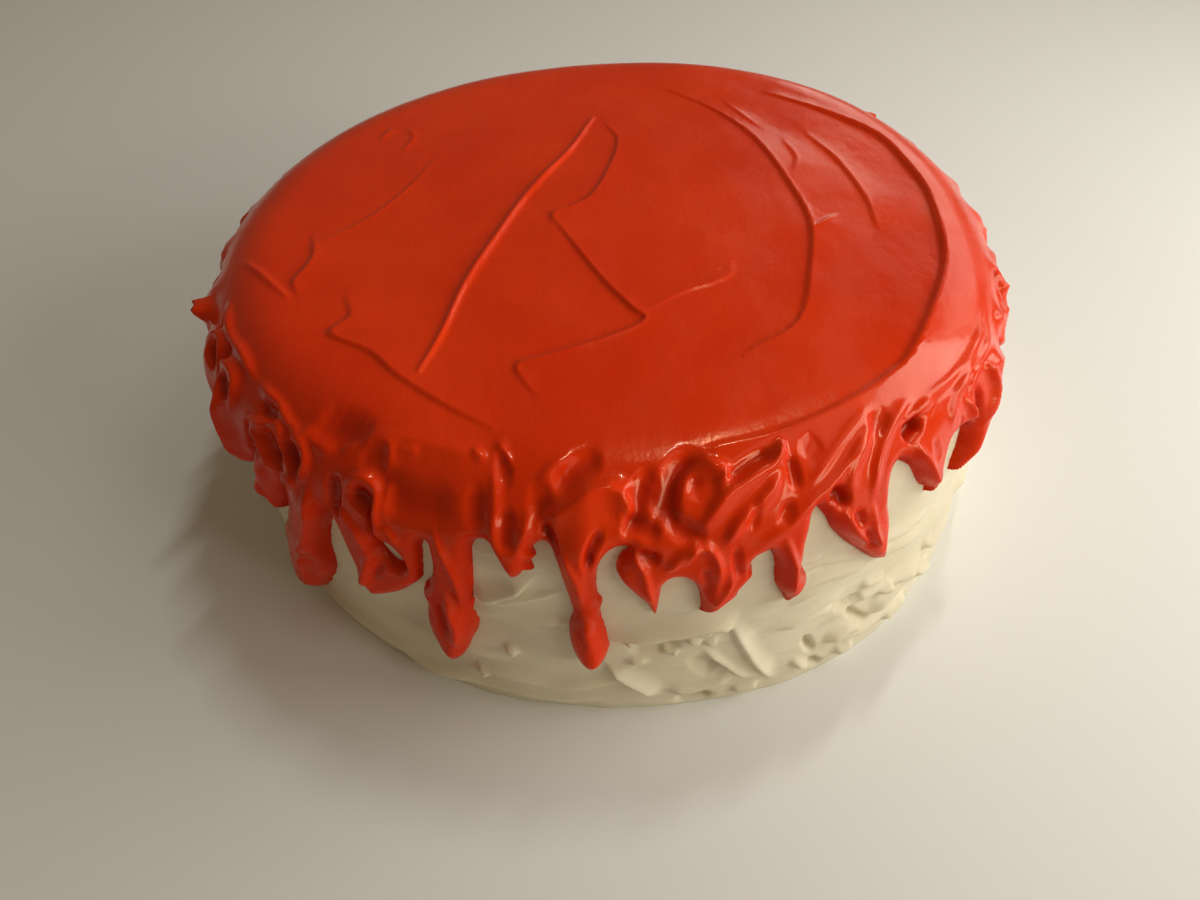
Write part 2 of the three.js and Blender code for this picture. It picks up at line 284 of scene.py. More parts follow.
# %% Marks in the cream
CREAM_MARKS = [
    # ledges left of the middle, and the smear under the stub
    (1.4, 7, 1.1, [(-106.6, 46), (-104, 43.6), (-101.6, 40.4), (-99.4, 36.6)]),
    (0.6, 2.4, 1.2, [(-104.4, 47.4), (-100, 43.4), (-96, 40)]),
    (0.8, 5, 1.1, [(-109, 51.2), (-103, 50.4), (-99, 51), (-96, 53)]),
    (0.9, 1.7, [(-104.5, 66.2), (-103.3, 67.2), (-103.5, 68.8)]),
    (1.0, 5, 1.3, [(-113, 82), (-107, 79.2), (-103, 79.6), (-99, 80.6), (-95, 79.6), (-91, 79)]),
    (0.7, 2.4, 3, [(-123, 88.8), (-115, 86.4), (-105, 87), (-98, 87.8), (-93, 86.4)]),
    (0.6, 1.5, [(-107.4, 79.6), (-108.6, 77.8)]), (-0.5, 7, [(-121, 64), (-111, 60), (-99, 62)]),
    (0.5, 6, 1.6, [(-124, 70), (-113, 72), (-104, 73)]),
    # the plateau right of the long round drip, its ledge and the torn patch below
    (1.4, 7, 1.1, [(-93, 57.8), (-86, 57), (-80, 56.2), (-77.4, 57), (-75.8, 60)]),
    (1.2, 6, 1.4, [(-91.8, 69.6), (-90, 75), (-88, 80), (-85.8, 86)]),
    (-0.9, 4.4, [(-89, 62.6), (-82, 63)]), (0.8, 1.6, [(-89.2, 60.4), (-87, 61)]),
    (0.8, 1.4, 1.6, [(-85.2, 59.8), (-83.4, 62.4)]), (0.8, 1.4, 1.6, [(-84.8, 64.8), (-82.6, 66.8)]),
    (0.7, 1.3, [(-81.6, 61.8), (-79.8, 63.4)]), (0.7, 2, [(-88.8, 68.6), (-86.8, 69)]),
    (0.6, 1.2, 1.4, [(-80.4, 59.4), (-78.2, 60.6)]), (0.6, 1.2, 1.4, [(-79.4, 64.4), (-77.6, 64)]),
    # the two lips that run down to the foot
    (1.0, 5, 1.4, [(-76, 58.6), (-75, 65), (-74, 71), (-73, 77), (-71.8, 82), (-70.4, 88)]),
    (0.8, 2.2, 1.4, [(-79.4, 67.6), (-78, 71.6), (-76.4, 76.4), (-74.8, 81), (-71.8, 86)]),
    (-1.0, 4, [(-80.4, 72), (-77.6, 79)]), (0.9, 3, 1.4, [(-84.6, 84.4), (-80, 84), (-75.4, 82.8)]),
    (-1.3, 2.2, [(-83.4, 90), (-78.4, 90)]), (0.8, 2, [(-76, 88.6), (-72, 88.4)]),
    # lumps and creases on the right
    (0.4, 1.1, [(-68.4, 41.8), (-64, 43)]), (0.4, 1.1, [(-68.2, 45), (-64, 46)]),
    (0.4, 1.1, [(-67.8, 48.2), (-63.6, 48.8)]),
    (0.6, 5, 1.5, [(-72, 54), (-64, 53), (-56, 55.6), (-47, 54)]),
    (-1.1, 1.4, [(-58.8, 72.6), (-57, 78), (-55.2, 81.8)]),
    (1.2, 2.6, 3.2, [(-62.8, 80.6), (-59, 79.2), (-56.4, 81.4)]),
    (-1.1, 1.4, [(-65.4, 75.6), (-64.3, 82.4)]), (-1.2, 1.5, [(-64.8, 85.2), (-62.8, 91)]),
    (1.0, 2.2, [(-67, 84), (-65.6, 86.6)]), (1.0, 2.6, [(-61, 87.2), (-58, 86)]),
    (-0.8, 3, [(-59.6, 70), (-57.2, 71)]), (0.7, 3, [(-56.6, 65.6), (-52, 69)]),
    (0.8, 3, 1.4, [(-69.6, 68), (-65, 66.6), (-61, 67.4)]),
    (0.7, 4, 1.6, [(-52, 60), (-44, 62.6), (-38, 62)]), (1.2, 4, 3, [(-55, 80.6), (-50, 77), (-44.6, 76)]),
    (1.1, 3, [(-52.6, 86.6), (-47, 84.4)]), (1.1, 3, [(-44.4, 82), (-40, 84.4)]),
    (-0.8, 2, [(-49, 80.6), (-46.6, 82)]), (0.9, 2, [(-53.4, 74), (-50.6, 73)]),
    (1.0, 2, [(-42, 74), (-39.4, 76)]),
    # long smears that rise to the right
    (0.6, 3, 1.2, [(-56.2, 49.4), (-49.8, 53.6), (-42.2, 57.8)]),
    (0.5, 4, 1.2, [(-68.2, 59.4), (-62.4, 56.6), (-55.8, 56)]),
    (0.6, 3.4, 1.2, [(-63.2, 75), (-56.2, 72), (-47.2, 75.2), (-41.4, 77)]),
    (0.5, 3, 1.2, [(-71.6, 66.2), (-65, 64.4), (-58.8, 64)]),
    (0.6, 3, 1.4, [(-60, 84), (-53.6, 84.8), (-48.4, 82.4)]),
    (0.5, 3, 1.2, [(-65.6, 44.2), (-59.8, 49.2), (-52.6, 55.8)]),
]
CREAM_SEED = 11
LEDGES = 34
CREAM_COPIES = 60
SEAM_REACH = 28.0


def scattered_cream():
    """Long level ledges everywhere but in front, and copies of the front's own marks."""
    random = np.random.RandomState(CREAM_SEED)
    made = []
    for _ in range(LEDGES):
        azimuth = random.uniform(-36, 222)
        down = random.uniform(26, 88)
        length = random.uniform(8, 26)
        bend = random.uniform(-3, 3)
        points = [(azimuth, down), (azimuth + 0.5 * length, down + bend), (azimuth + length, down)]
        sizes = (random.uniform(0.5, 1.1), random.uniform(4, 7), random.uniform(1.3, 2))
        made.append((*sizes, points))
    for _ in range(CREAM_COPIES):
        *sizes, points = CREAM_MARKS[random.randint(len(CREAM_MARKS))]
        azimuth = random.uniform(-34, 222)
        shift = azimuth - points[0][0]
        lower = random.uniform(-4, 1)
        made.append((*sizes, [(a + shift, d + lower) for a, d in points]))
    return made


def moved(points, degrees):
    """The same points turned round the cake."""
    return [(azimuth + degrees, down) for azimuth, down in points]


def wrapped(strokes):
    """Strokes past the back's middle also belong to the other end of the unrolled skin."""
    made = []
    for *sizes, points in strokes:
        shift = -360.0 if points[0][0] > BACK else 0.0
        made.append((*sizes, moved(points, shift)))
        if abs(points[0][0] - BACK) < SEAM_REACH:
            made.append((*sizes, moved(points, -360.0 - shift)))
    return made


cream_strokes = on_skin(CREAM_MARKS + wrapped(scattered_cream()))
print("marks in the cream:", len(cream_strokes))

# %% [markdown]
# The relief of the cream is a slow swell, the marks, a fine ripple from the knife's edge,
# and a ragged line at the foot. Only the swell is passed on to the icing that lies on it.

# %% Relief of the cream
CREAM_STRENGTH = 2.5
SQUEEZED_AT = -58.0
SQUEEZED_OUT = 2.4


def cream_swell(azimuth, down):
    """The slow part: unevenness all round, and the cream squeezed out on the right."""
    height = SHOULDER_START + SHOULDER_WAY - down
    away = np.abs(degrees_from(azimuth, SQUEEZED_AT))
    low_down = 1.0 - smoothstep(5.0, 22.0, height)
    squeezed = SQUEEZED_OUT * (1.0 - smoothstep(0.0, 26.0, away)) * low_down
    return squeezed + 0.35 * waves(azimuth, height, 5, 40.0)


def cream_relief(azimuth, down):
    """How far the cream stands out of the plain skin, in mm."""
    height = SHOULDER_START + SHOULDER_WAY - down
    on_wall = smoothstep(-1.0, 2.0, height) * (1.0 - smoothstep(62.0, 72.0, height))
    strokes = stroke_relief(around(azimuth), down, cream_strokes)
    ripple = 0.09 * waves(azimuth * 9.0, height, 21, 1.6) + 0.10 * waves(azimuth * 5.0, height, 22, 2.6)
    ragged = 0.6 * waves(azimuth * 4.0, height, 8, 9.0) * (1.0 - smoothstep(1.0, 7.0, height))
    return cream_swell(azimuth, down) + on_wall * (CREAM_STRENGTH * strokes + ripple) + ragged


print("the cream stands out most near azimuth", SQUEEZED_AT, "by", SQUEEZED_OUT, "mm")

# %% [markdown]
# To make the body, a profile of edges is spun round the Z axis with `bmesh.ops.spin`. The
# spin gives evenly spaced columns. They are then drawn closer together at the front, where
# the camera is near, and each vertex is laid on the skin and raised by the relief.

# %% Spin a body and lay it on the skin
CROWDING = 0.42


def spun_body(name, rows, columns, relief, sink):
    """A closed form from the foot to the cake's top, `sink` mm under the given relief."""
    shape = bmesh.new()
    previous = None
    for down in rows:
        vertex = shape.verts.new((1.0, 0.0, float(down)))
        if previous is not None:
            shape.edges.new((previous, vertex))
        previous = vertex
    bmesh.ops.spin(
        shape, geom=shape.verts[:] + shape.edges[:], axis=(0, 0, 1), cent=(0, 0, 0),
        angle=2 * math.pi, steps=columns, use_merge=True,
    )
    bmesh.ops.remove_doubles(shape, verts=shape.verts[:], dist=1e-6)
    raw = np.array([v.co for v in shape.verts])
    even = np.degrees(np.arctan2(raw[:, 1], raw[:, 0]))
    azimuth = even + CROWDING * np.sin(np.radians(even - FRONT + 180.0)) * 180.0 / math.pi
    down = raw[:, 2]
    lift = relief(azimuth, down) - sink
    points = skin_points(azimuth, down, lift)
    foot = down > rows[0] - 0.01
    points[foot, 2] = -sink
    for vertex, point in zip(shape.verts, points):
        vertex.co = Vector(point) * MM
    rims = [edge for edge in shape.edges if edge.is_boundary]
    bmesh.ops.holes_fill(shape, edges=rims, sides=0)
    bmesh.ops.recalc_face_normals(shape, faces=shape.faces[:])
    return mesh_object(name, shape)


FOOT_DOWN = SHOULDER_WAY + SHOULDER_START
BODY_COLUMNS = 740
body_rows = np.concatenate([
    [FOOT_DOWN, FOOT_DOWN - 0.25, FOOT_DOWN - 0.7],
    np.linspace(FOOT_DOWN - 1.2, 20.0, 118),
    np.linspace(17.0, 0.0, 5),
])
frosting = spun_body("frosting", body_rows, BODY_COLUMNS, cream_relief, 0.0)
frosting.data.shade_smooth()
print("frosting faces:", len(frosting.data.polygons))

# %% [markdown]
# ## Where the red icing ends
#
# The icing is a cap with drips, and its lower edge is one long line, like a coast. Each
# drip below gives its own part of that line from left to right, as azimuth and way down.
# The shown drips are listed one by one. Those round the back follow a seeded rule.

# %% The shown drips
SHOWN_DRIPS = {
    "far_left": [(-176, 23), (-174.5, 28), (-171.8, 33.5), (-168.6, 36), (-165.6, 33), (-164, 27),
        (-162.4, 24)],
    "left_fold": [(-160.8, 28), (-158.6, 35), (-155.6, 38.5), (-153.4, 36), (-152, 29), (-151, 25.5)],
    "left_lobe": [(-150, 30), (-149.2, 35.5), (-147.6, 39), (-144.6, 41.5), (-142.4, 38.5), (-141, 33),
        (-140, 29.5)],
    "torn": [(-140.6, 35), (-141.4, 42.5), (-139.8, 45.5), (-138.7, 50.5), (-137.2, 45.5), (-136, 41),
        (-135, 36), (-133.7, 32.2)],
    "thick": [(-134.4, 38), (-136, 44), (-137.4, 50.4), (-139.8, 56), (-141.8, 62), (-142.8, 70),
        (-142.4, 78), (-141.4, 84.4), (-139.6, 87.4), (-137.6, 85), (-135.6, 79.6), (-133.2, 72.4),
        (-131.2, 65), (-130.2, 58.6), (-129.8, 53), (-129, 47), (-127.6, 40), (-126, 34), (-125, 30.5)],
    "broad": [(-123.1, 35), (-122.1, 41), (-121.5, 47.4), (-121.7, 53), (-122.8, 57), (-121.5, 55.6),
        (-118.6, 51.6), (-115.6, 47), (-113.4, 42.2), (-112.2, 38.8), (-111.8, 35.4), (-111.4, 30),
        (-111, 26)],
    "long_wide": [(-110.6, 25.5), (-110.6, 31), (-111.4, 37), (-112.9, 41.8), (-112.7, 46), (-113.3, 52),
        (-113.4, 58), (-112.9, 63.4), (-112, 68), (-111, 71), (-109.7, 69.4), (-108.5, 65), (-107.4, 58.6),
        (-106.5, 52), (-106, 44), (-105.6, 36), (-105.3, 29.5), (-105, 24)],
    "stub": [(-104.3, 22.3), (-103.3, 22.6), (-102.4, 25.6), (-101.6, 28.8), (-100.6, 30.4), (-99.6, 29.7),
        (-99, 28), (-98.2, 28.6), (-98.5, 26), (-97.8, 24.6), (-98.2, 22.8), (-97.4, 21.4), (-96.4, 21.4)],
    "long_round": [(-95.8, 25), (-95.2, 32), (-94.8, 38), (-94.6, 42), (-95.2, 46), (-95.5, 51),
        (-95.3, 56), (-94.5, 60), (-93.2, 62), (-91.8, 60.4), (-91, 56.6), (-90.8, 52.6), (-91.2, 48),
        (-91.5, 42), (-91.1, 37.6), (-91.6, 34.5), (-91.4, 28.5), (-90.8, 25.2), (-89.9, 23), (-88.7, 22)],
    "pointed": [(-87.6, 22.2), (-88.7, 24.4), (-89.2, 27.4), (-88.8, 30.4), (-87.8, 33.2), (-86.8, 36.5),
        (-86.1, 39.6), (-85.3, 43.4), (-84.9, 40), (-84.6, 36), (-84.3, 32.4), (-83.3, 30.4), (-82, 30.6)],
    "leaf": [(-81, 32.8), (-80.3, 37), (-80.1, 41), (-80.1, 43.6), (-80.1, 44.9), (-79.8, 44.6),
        (-78.2, 43), (-76.7, 41), (-75.7, 39.4), (-75.4, 37.6), (-74.4, 34.6), (-73.9, 33), (-74.2, 30.8),
        (-73.8, 28.8), (-72.7, 28.1), (-71.9, 28.2)],
    "bent": [(-71.5, 32), (-71.4, 37), (-71.2, 41), (-70.4, 45.6), (-69.4, 48.6), (-68.5, 46.2),
        (-67.4, 44.6), (-66.9, 42), (-67, 39.6), (-67.8, 36.8), (-67.9, 34), (-67.5, 29), (-67, 25.6),
        (-66.5, 22.8), (-65.6, 21.8)],
    "slanted": [(-65, 25), (-64.2, 29.4), (-62.6, 34.2), (-61, 38.6), (-59.6, 42.4), (-58.2, 46.6),
        (-56.9, 48.8), (-55.7, 49.4), (-54.8, 48.6), (-54.4, 46.4), (-54.6, 43), (-55.1, 40), (-55, 35),
        (-55.3, 31), (-55.7, 28), (-55.6, 24.6), (-54.9, 22), (-53.8, 21), (-52.9, 21.2)],
    "curl": [(-51.8, 25), (-51, 29), (-49.6, 33), (-48, 36.4), (-46.6, 38.4), (-45.4, 38.2), (-45, 35.6),
        (-45.1, 32.6), (-45.3, 29.4), (-45, 27), (-44.2, 25.2), (-42.6, 24.8)],
    "right_leaf": [(-38, 30.5), (-36.4, 34), (-36, 39), (-36.6, 44), (-37.6, 48.5), (-37, 50.5),
        (-34.6, 48), (-31.4, 43), (-28.6, 38), (-27, 33), (-26, 28), (-25, 25.5)],
    "far_right": [(-24, 27), (-22, 31), (-19.6, 33), (-17.6, 30), (-16, 25), (-14.4, 23)],
}
SMALL_HOLE = [
    (-116.8, 29.4), (-115.6, 29.4), (-114.6, 31.4), (-114.5, 34.6), (-115.4, 35.2), (-116.8, 31.8),
    (-116.8, 29.4),
]
print("drips placed by eye:", ", ".join(SHOWN_DRIPS))

# %% [markdown]
# Each drip is given by its front, which is nearer than the cream it lies on. Seen from
# above, its edge is therefore lower down the skin than it looks. The line of sight from the
# camera carries each placed point back from the icing's front to where its edge touches.
# Drips far round to either side are seen against what is behind them, so theirs are the
# places where they touch, and they stay as they are. The edge of a drip that faces away
# from the camera is hidden by the drip itself and moves less.

# %% From the seen front to the touched skin
FRONT_LIFT = 4.4
EDGE_LIFT = 1.2
FARTHEST = 9.0
HIDDEN_SHARE = 0.45
BESIDE = {"far_left", "left_fold", "left_lobe", "torn", "thick", "right_leaf", "far_right"}


def place_on_skin(points):
    """Azimuth and way down of points near the cake, in mm: skin_points the other way."""
    height = points[:, 2]
    across = points[:, 0] - (CENTRE_X + LEAN * np.clip(height / LEAN_HEIGHT, 0.0, 1.0))
    deep = points[:, 1] - CENTRE_Y
    azimuth = np.degrees(np.arctan2(deep, across))
    radius = np.hypot(deep, across)
    over = np.degrees(np.arctan2(radius - TOP_FLAT_RADIUS, height - SHOULDER_START))
    on_wall = SHOULDER_WAY + SHOULDER_START - height
    down = np.where(over < 90.0, SHOULDER_WAY * over / 90.0, on_wall)
    return azimuth, np.where(radius < TOP_FLAT_RADIUS, radius - TOP_FLAT_RADIUS, down)


def carried_back(points):
    """Moves points along the line of sight, from the icing's front to near the cream."""
    azimuth, down = np.array(points, float).T
    front = skin_points(azimuth, down, FRONT_LIFT + 0.0 * down)
    outward = skin_points(azimuth, down, FRONT_LIFT + 1.0 + 0.0 * down) - front
    sight = front - np.array(CAMERA_AT) / MM
    sight = sight / np.linalg.norm(sight, axis=1)[:, None]
    way = np.minimum((EDGE_LIFT - FRONT_LIFT) / np.sum(sight * outward, axis=1), FARTHEST)
    new_azimuth, new_down = place_on_skin(front + sight * way[:, None])
    before = np.arange(len(down)) < np.argmax(down)
    hidden = before != (azimuth > FRONT)
    new_azimuth = azimuth + (new_azimuth - azimuth) * np.where(hidden, HIDDEN_SHARE, 1.0)
    return list(zip(new_azimuth, new_down))


print("drips that stay as placed:", len(BESIDE))

# %% [markdown]
# The drips round the back hang from arches at even steps. Each has a neck, a thicker end
# and a seeded raggedness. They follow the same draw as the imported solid, so both agree.

# %% The drips round the back
BACK_FROM = -11.0
BACK_TO = 181.0
BACK_COUNT = 17
BACK_SEED = 20
BACK_TIPS = [58, 34, 50, 24, 61, 42]
BACK_ROOT = 24.0
ARCH_DOWN = 22.0


def even_random(seed):
    """The same plain seeded draw as the solid part uses, so that the back drips agree."""
    state = seed
    while True:
        state = (state * 1664525 + 1013904223) % 4294967296
        yield state / 4294967296


def back_drips():
    """The edge of each drip from arch to arch, through its neck and its end."""
    draw = even_random(BACK_SEED)
    ragged = np.random.RandomState(BACK_SEED)
    edges = []
    for index in range(BACK_COUNT):
        step = (BACK_TO - BACK_FROM) / (BACK_COUNT - 1)
        root = BACK_FROM + step * (index + 0.3 * (next(draw) - 0.5))
        wide = next(draw)
        tip = root + 5 * (next(draw) - 0.5)
        tip_down = float(way_down(BACK_TIPS[index % len(BACK_TIPS)] + 6 * (next(draw) - 0.5)))
        neck = (4 + 4 * wide) / MM_PER_DEGREE
        bulb = (3.4 + 2.4 * next(draw)) / MM_PER_DEGREE
        next(draw)  # the solid part draws how far the drip stands out here
        length = tip_down - BACK_ROOT
        halves = [
            (0.0, 1.2 * neck + 1.0), (0.12, neck), (0.4, 0.5 * neck + 0.4 * bulb), (0.7, bulb),
            (0.9, 0.8 * bulb),
        ]
        left = []
        right = []
        for share, half in halves:
            middle = root + (tip - root) * share
            lower = BACK_ROOT + length * share
            left.append((middle - half + ragged.uniform(-0.35, 0.35), lower + ragged.uniform(-1, 1)))
            right.append((middle + half + ragged.uniform(-0.35, 0.35), lower + ragged.uniform(-1, 1)))
        left[0] = (left[0][0], ARCH_DOWN + ragged.uniform(-1.5, 1.5))
        right[0] = (right[0][0], ARCH_DOWN + ragged.uniform(-1.5, 1.5))
        edges.append(left + [(tip + ragged.uniform(-0.5, 0.5), tip_down)] + right[::-1])
    return edges


back_edges = back_drips()
shown_edges = [edge if name in BESIDE else carried_back(edge) for name, edge in SHOWN_DRIPS.items()]
TIP = 5
SPLIT_AT = 88
right_back = [edge for edge in back_edges if edge[TIP][0] < SPLIT_AT]
left_back = [moved(edge, -360.0) for edge in back_edges if edge[TIP][0] >= SPLIT_AT]
all_edges = left_back + shown_edges + right_back
all_edges = [moved(right_back[-1], -360.0)] + all_edges + [moved(left_back[0], 360.0)]
coast = unrolled([point for edge in all_edges for point in edge])
hole = unrolled(carried_back(SMALL_HOLE))
print("drips shown:", len(SHOWN_DRIPS), "round the back:", len(back_edges), "edge points:", len(coast))

# %% [markdown]
# How far a point lies inside the edge gives the thickness: icing rises steeply at its edge,
# rounds off within a few millimetres, as surface tension makes it do, and is then nearly
# level. Outside the edge the answer is below zero, so that the sheet dives under the
# cream there and is cut off. A few swells make the ends of the heavy drips thicker.

# %% Thickness of the icing
THICK_ON_TOP = 4.4
THINNER_BELOW = 0.7
EDGE_ROUND = 3.7
OUTSIDE_SLOPE = 1.6
DEEPEST = -6.0
FAR_INSIDE = 9.0
FULLER_AT = 44.0
SWELLS = [
    # height, half width, and the line along which the icing is thicker
    (3.4, 10, [(-135.8, 62), (-137.2, 69), (-137.8, 76)]),
    (3.0, 10, [(-128.6, 32), (-130.6, 42), (-132.6, 52)]),
    (2.6, 7, [(-93.1, 50), (-93.1, 56), (-93.1, 62)]), (1.4, 6, [(-109.6, 50), (-110.6, 60), (-111, 70)]),
    (1.4, 8, [(-92.2, 14), (-92.6, 19), (-93, 25)]), (2.6, 11, [(-30, 24), (-32, 32), (-35, 42)]),
    (3.4, 11, [(-148, 24), (-147.4, 31), (-146, 38)]), (2.2, 10, [(-157, 24), (-156, 31), (-155, 36)]),
    (2.2, 8, [(-139, 34), (-139.4, 42), (-138.8, 48)]), (1.4, 6, [(-69.2, 36), (-69.2, 42), (-69.2, 47)]),
    (1.4, 7, [(-60, 32), (-57.6, 40), (-56, 47)]), (1.2, 7, [(-78.4, 32), (-78.6, 39), (-79, 44)]),
    (1.0, 6, [(-48.4, 26), (-47.2, 32), (-46, 37)]), (1.6, 9, [(-168, 22), (-168.6, 29), (-168.6, 35)]),
    (1.0, 5, [(-101, 20), (-100.8, 25), (-100.6, 29)]), (1.2, 7, [(-120, 34), (-121, 44), (-122, 54)]),
]


def edge_distance(across, down, line):
    """Signed distance in mm to the edge of the icing: above 0 inside, below 0 outside."""
    order = np.argsort(across)
    u = across[order]
    w = down[order]
    away = np.full(len(u), FAR_INSIDE)
    crossed = np.zeros(len(u), int)
    for one, two in zip(line[:-1], line[1:]):
        low = min(one[0], two[0])
        high = max(one[0], two[0])
        first, last = np.searchsorted(u, (low, high))
        if last > first:
            share = (u[first:last] - one[0]) / (two[0] - one[0])
            crossed[first:last] += w[first:last] < one[1] + share * (two[1] - one[1])
        first, last = np.searchsorted(u, (low - FAR_INSIDE, high + FAR_INSIDE))
        near = line_distance(u[first:last], w[first:last], one, two)[0]
        away[first:last] = np.minimum(away[first:last], near)
    signed = np.where(crossed % 2 == 1, away, -away)
    result = np.empty_like(signed)
    result[order] = signed
    return result


def fullness(azimuth, down):
    """The shoulder is a little fuller all round and more so at the back on the right."""
    away = np.abs(degrees_from(azimuth, FULLER_AT))
    extra = 0.6 + 2.6 * (1.0 - smoothstep(0.0, 58.0, away))
    return extra * smoothstep(0.0, 12.0, down) * (1.0 - smoothstep(21.0, 33.0, down))


def drip_spines():
    """A raised fold down the middle of each drip round the back."""
    made = []
    for edge in back_edges:
        tip = edge[len(edge) // 2]
        root = 0.5 * (edge[0][0] + edge[-1][0])
        line = [(root, 21), (0.5 * (root + tip[0]), 0.5 * (21 + tip[1])), (tip[0], tip[1] - 2.0)]
        made.append((1.6, 7.0, line))
    return made


swells = on_skin(SWELLS + wrapped(drip_spines()))


def swelling(across, down):
    """The swells' extra thickness in mm."""
    total = np.zeros_like(across)
    for height, half, line in swells:
        away = along_line(across, down, line)[0]
        total += height * np.exp(-(away / (0.55 * half)) ** 2)
    return total


def inside_icing(azimuth, down):
    """Signed distance to the nearest edge of the icing, the small hole's edge included."""
    across = around(azimuth)
    inside = edge_distance(across, down, coast)
    in_hole = edge_distance(across, down, hole)
    return np.minimum(inside, np.where(np.abs(in_hole) < FAR_INSIDE, -in_hole, inside))


def icing_thickness(azimuth, down, inside):
    """The icing's thickness in mm: round at its edge, level inside, below zero outside."""
    thick = THICK_ON_TOP - THINNER_BELOW * smoothstep(2.0, 30.0, down)
    bulk = thick + fullness(azimuth, down)
    bulk = bulk + np.where(down > 4.0, swelling(around(azimuth), down), 0.0)
    share = np.clip(inside / EDGE_ROUND, 0.0, 1.0)
    dome = bulk * np.sqrt(1.0 - (1.0 - share) ** 2)
    return np.where(inside > 0.0, dome, np.maximum(OUTSIDE_SLOPE * inside, DEEPEST))


print("swells placed by eye:", len(SWELLS), "and round the back:", len(drip_spines()))

# %% [markdown]
# ## Folds in the icing
#
# Over the shoulder the knife pulled the icing into crests and hollows that lean the way the
# hand moved. Those in view are listed one by one, and each is a stroke like those in the
# cream. Hollows have a height below zero.

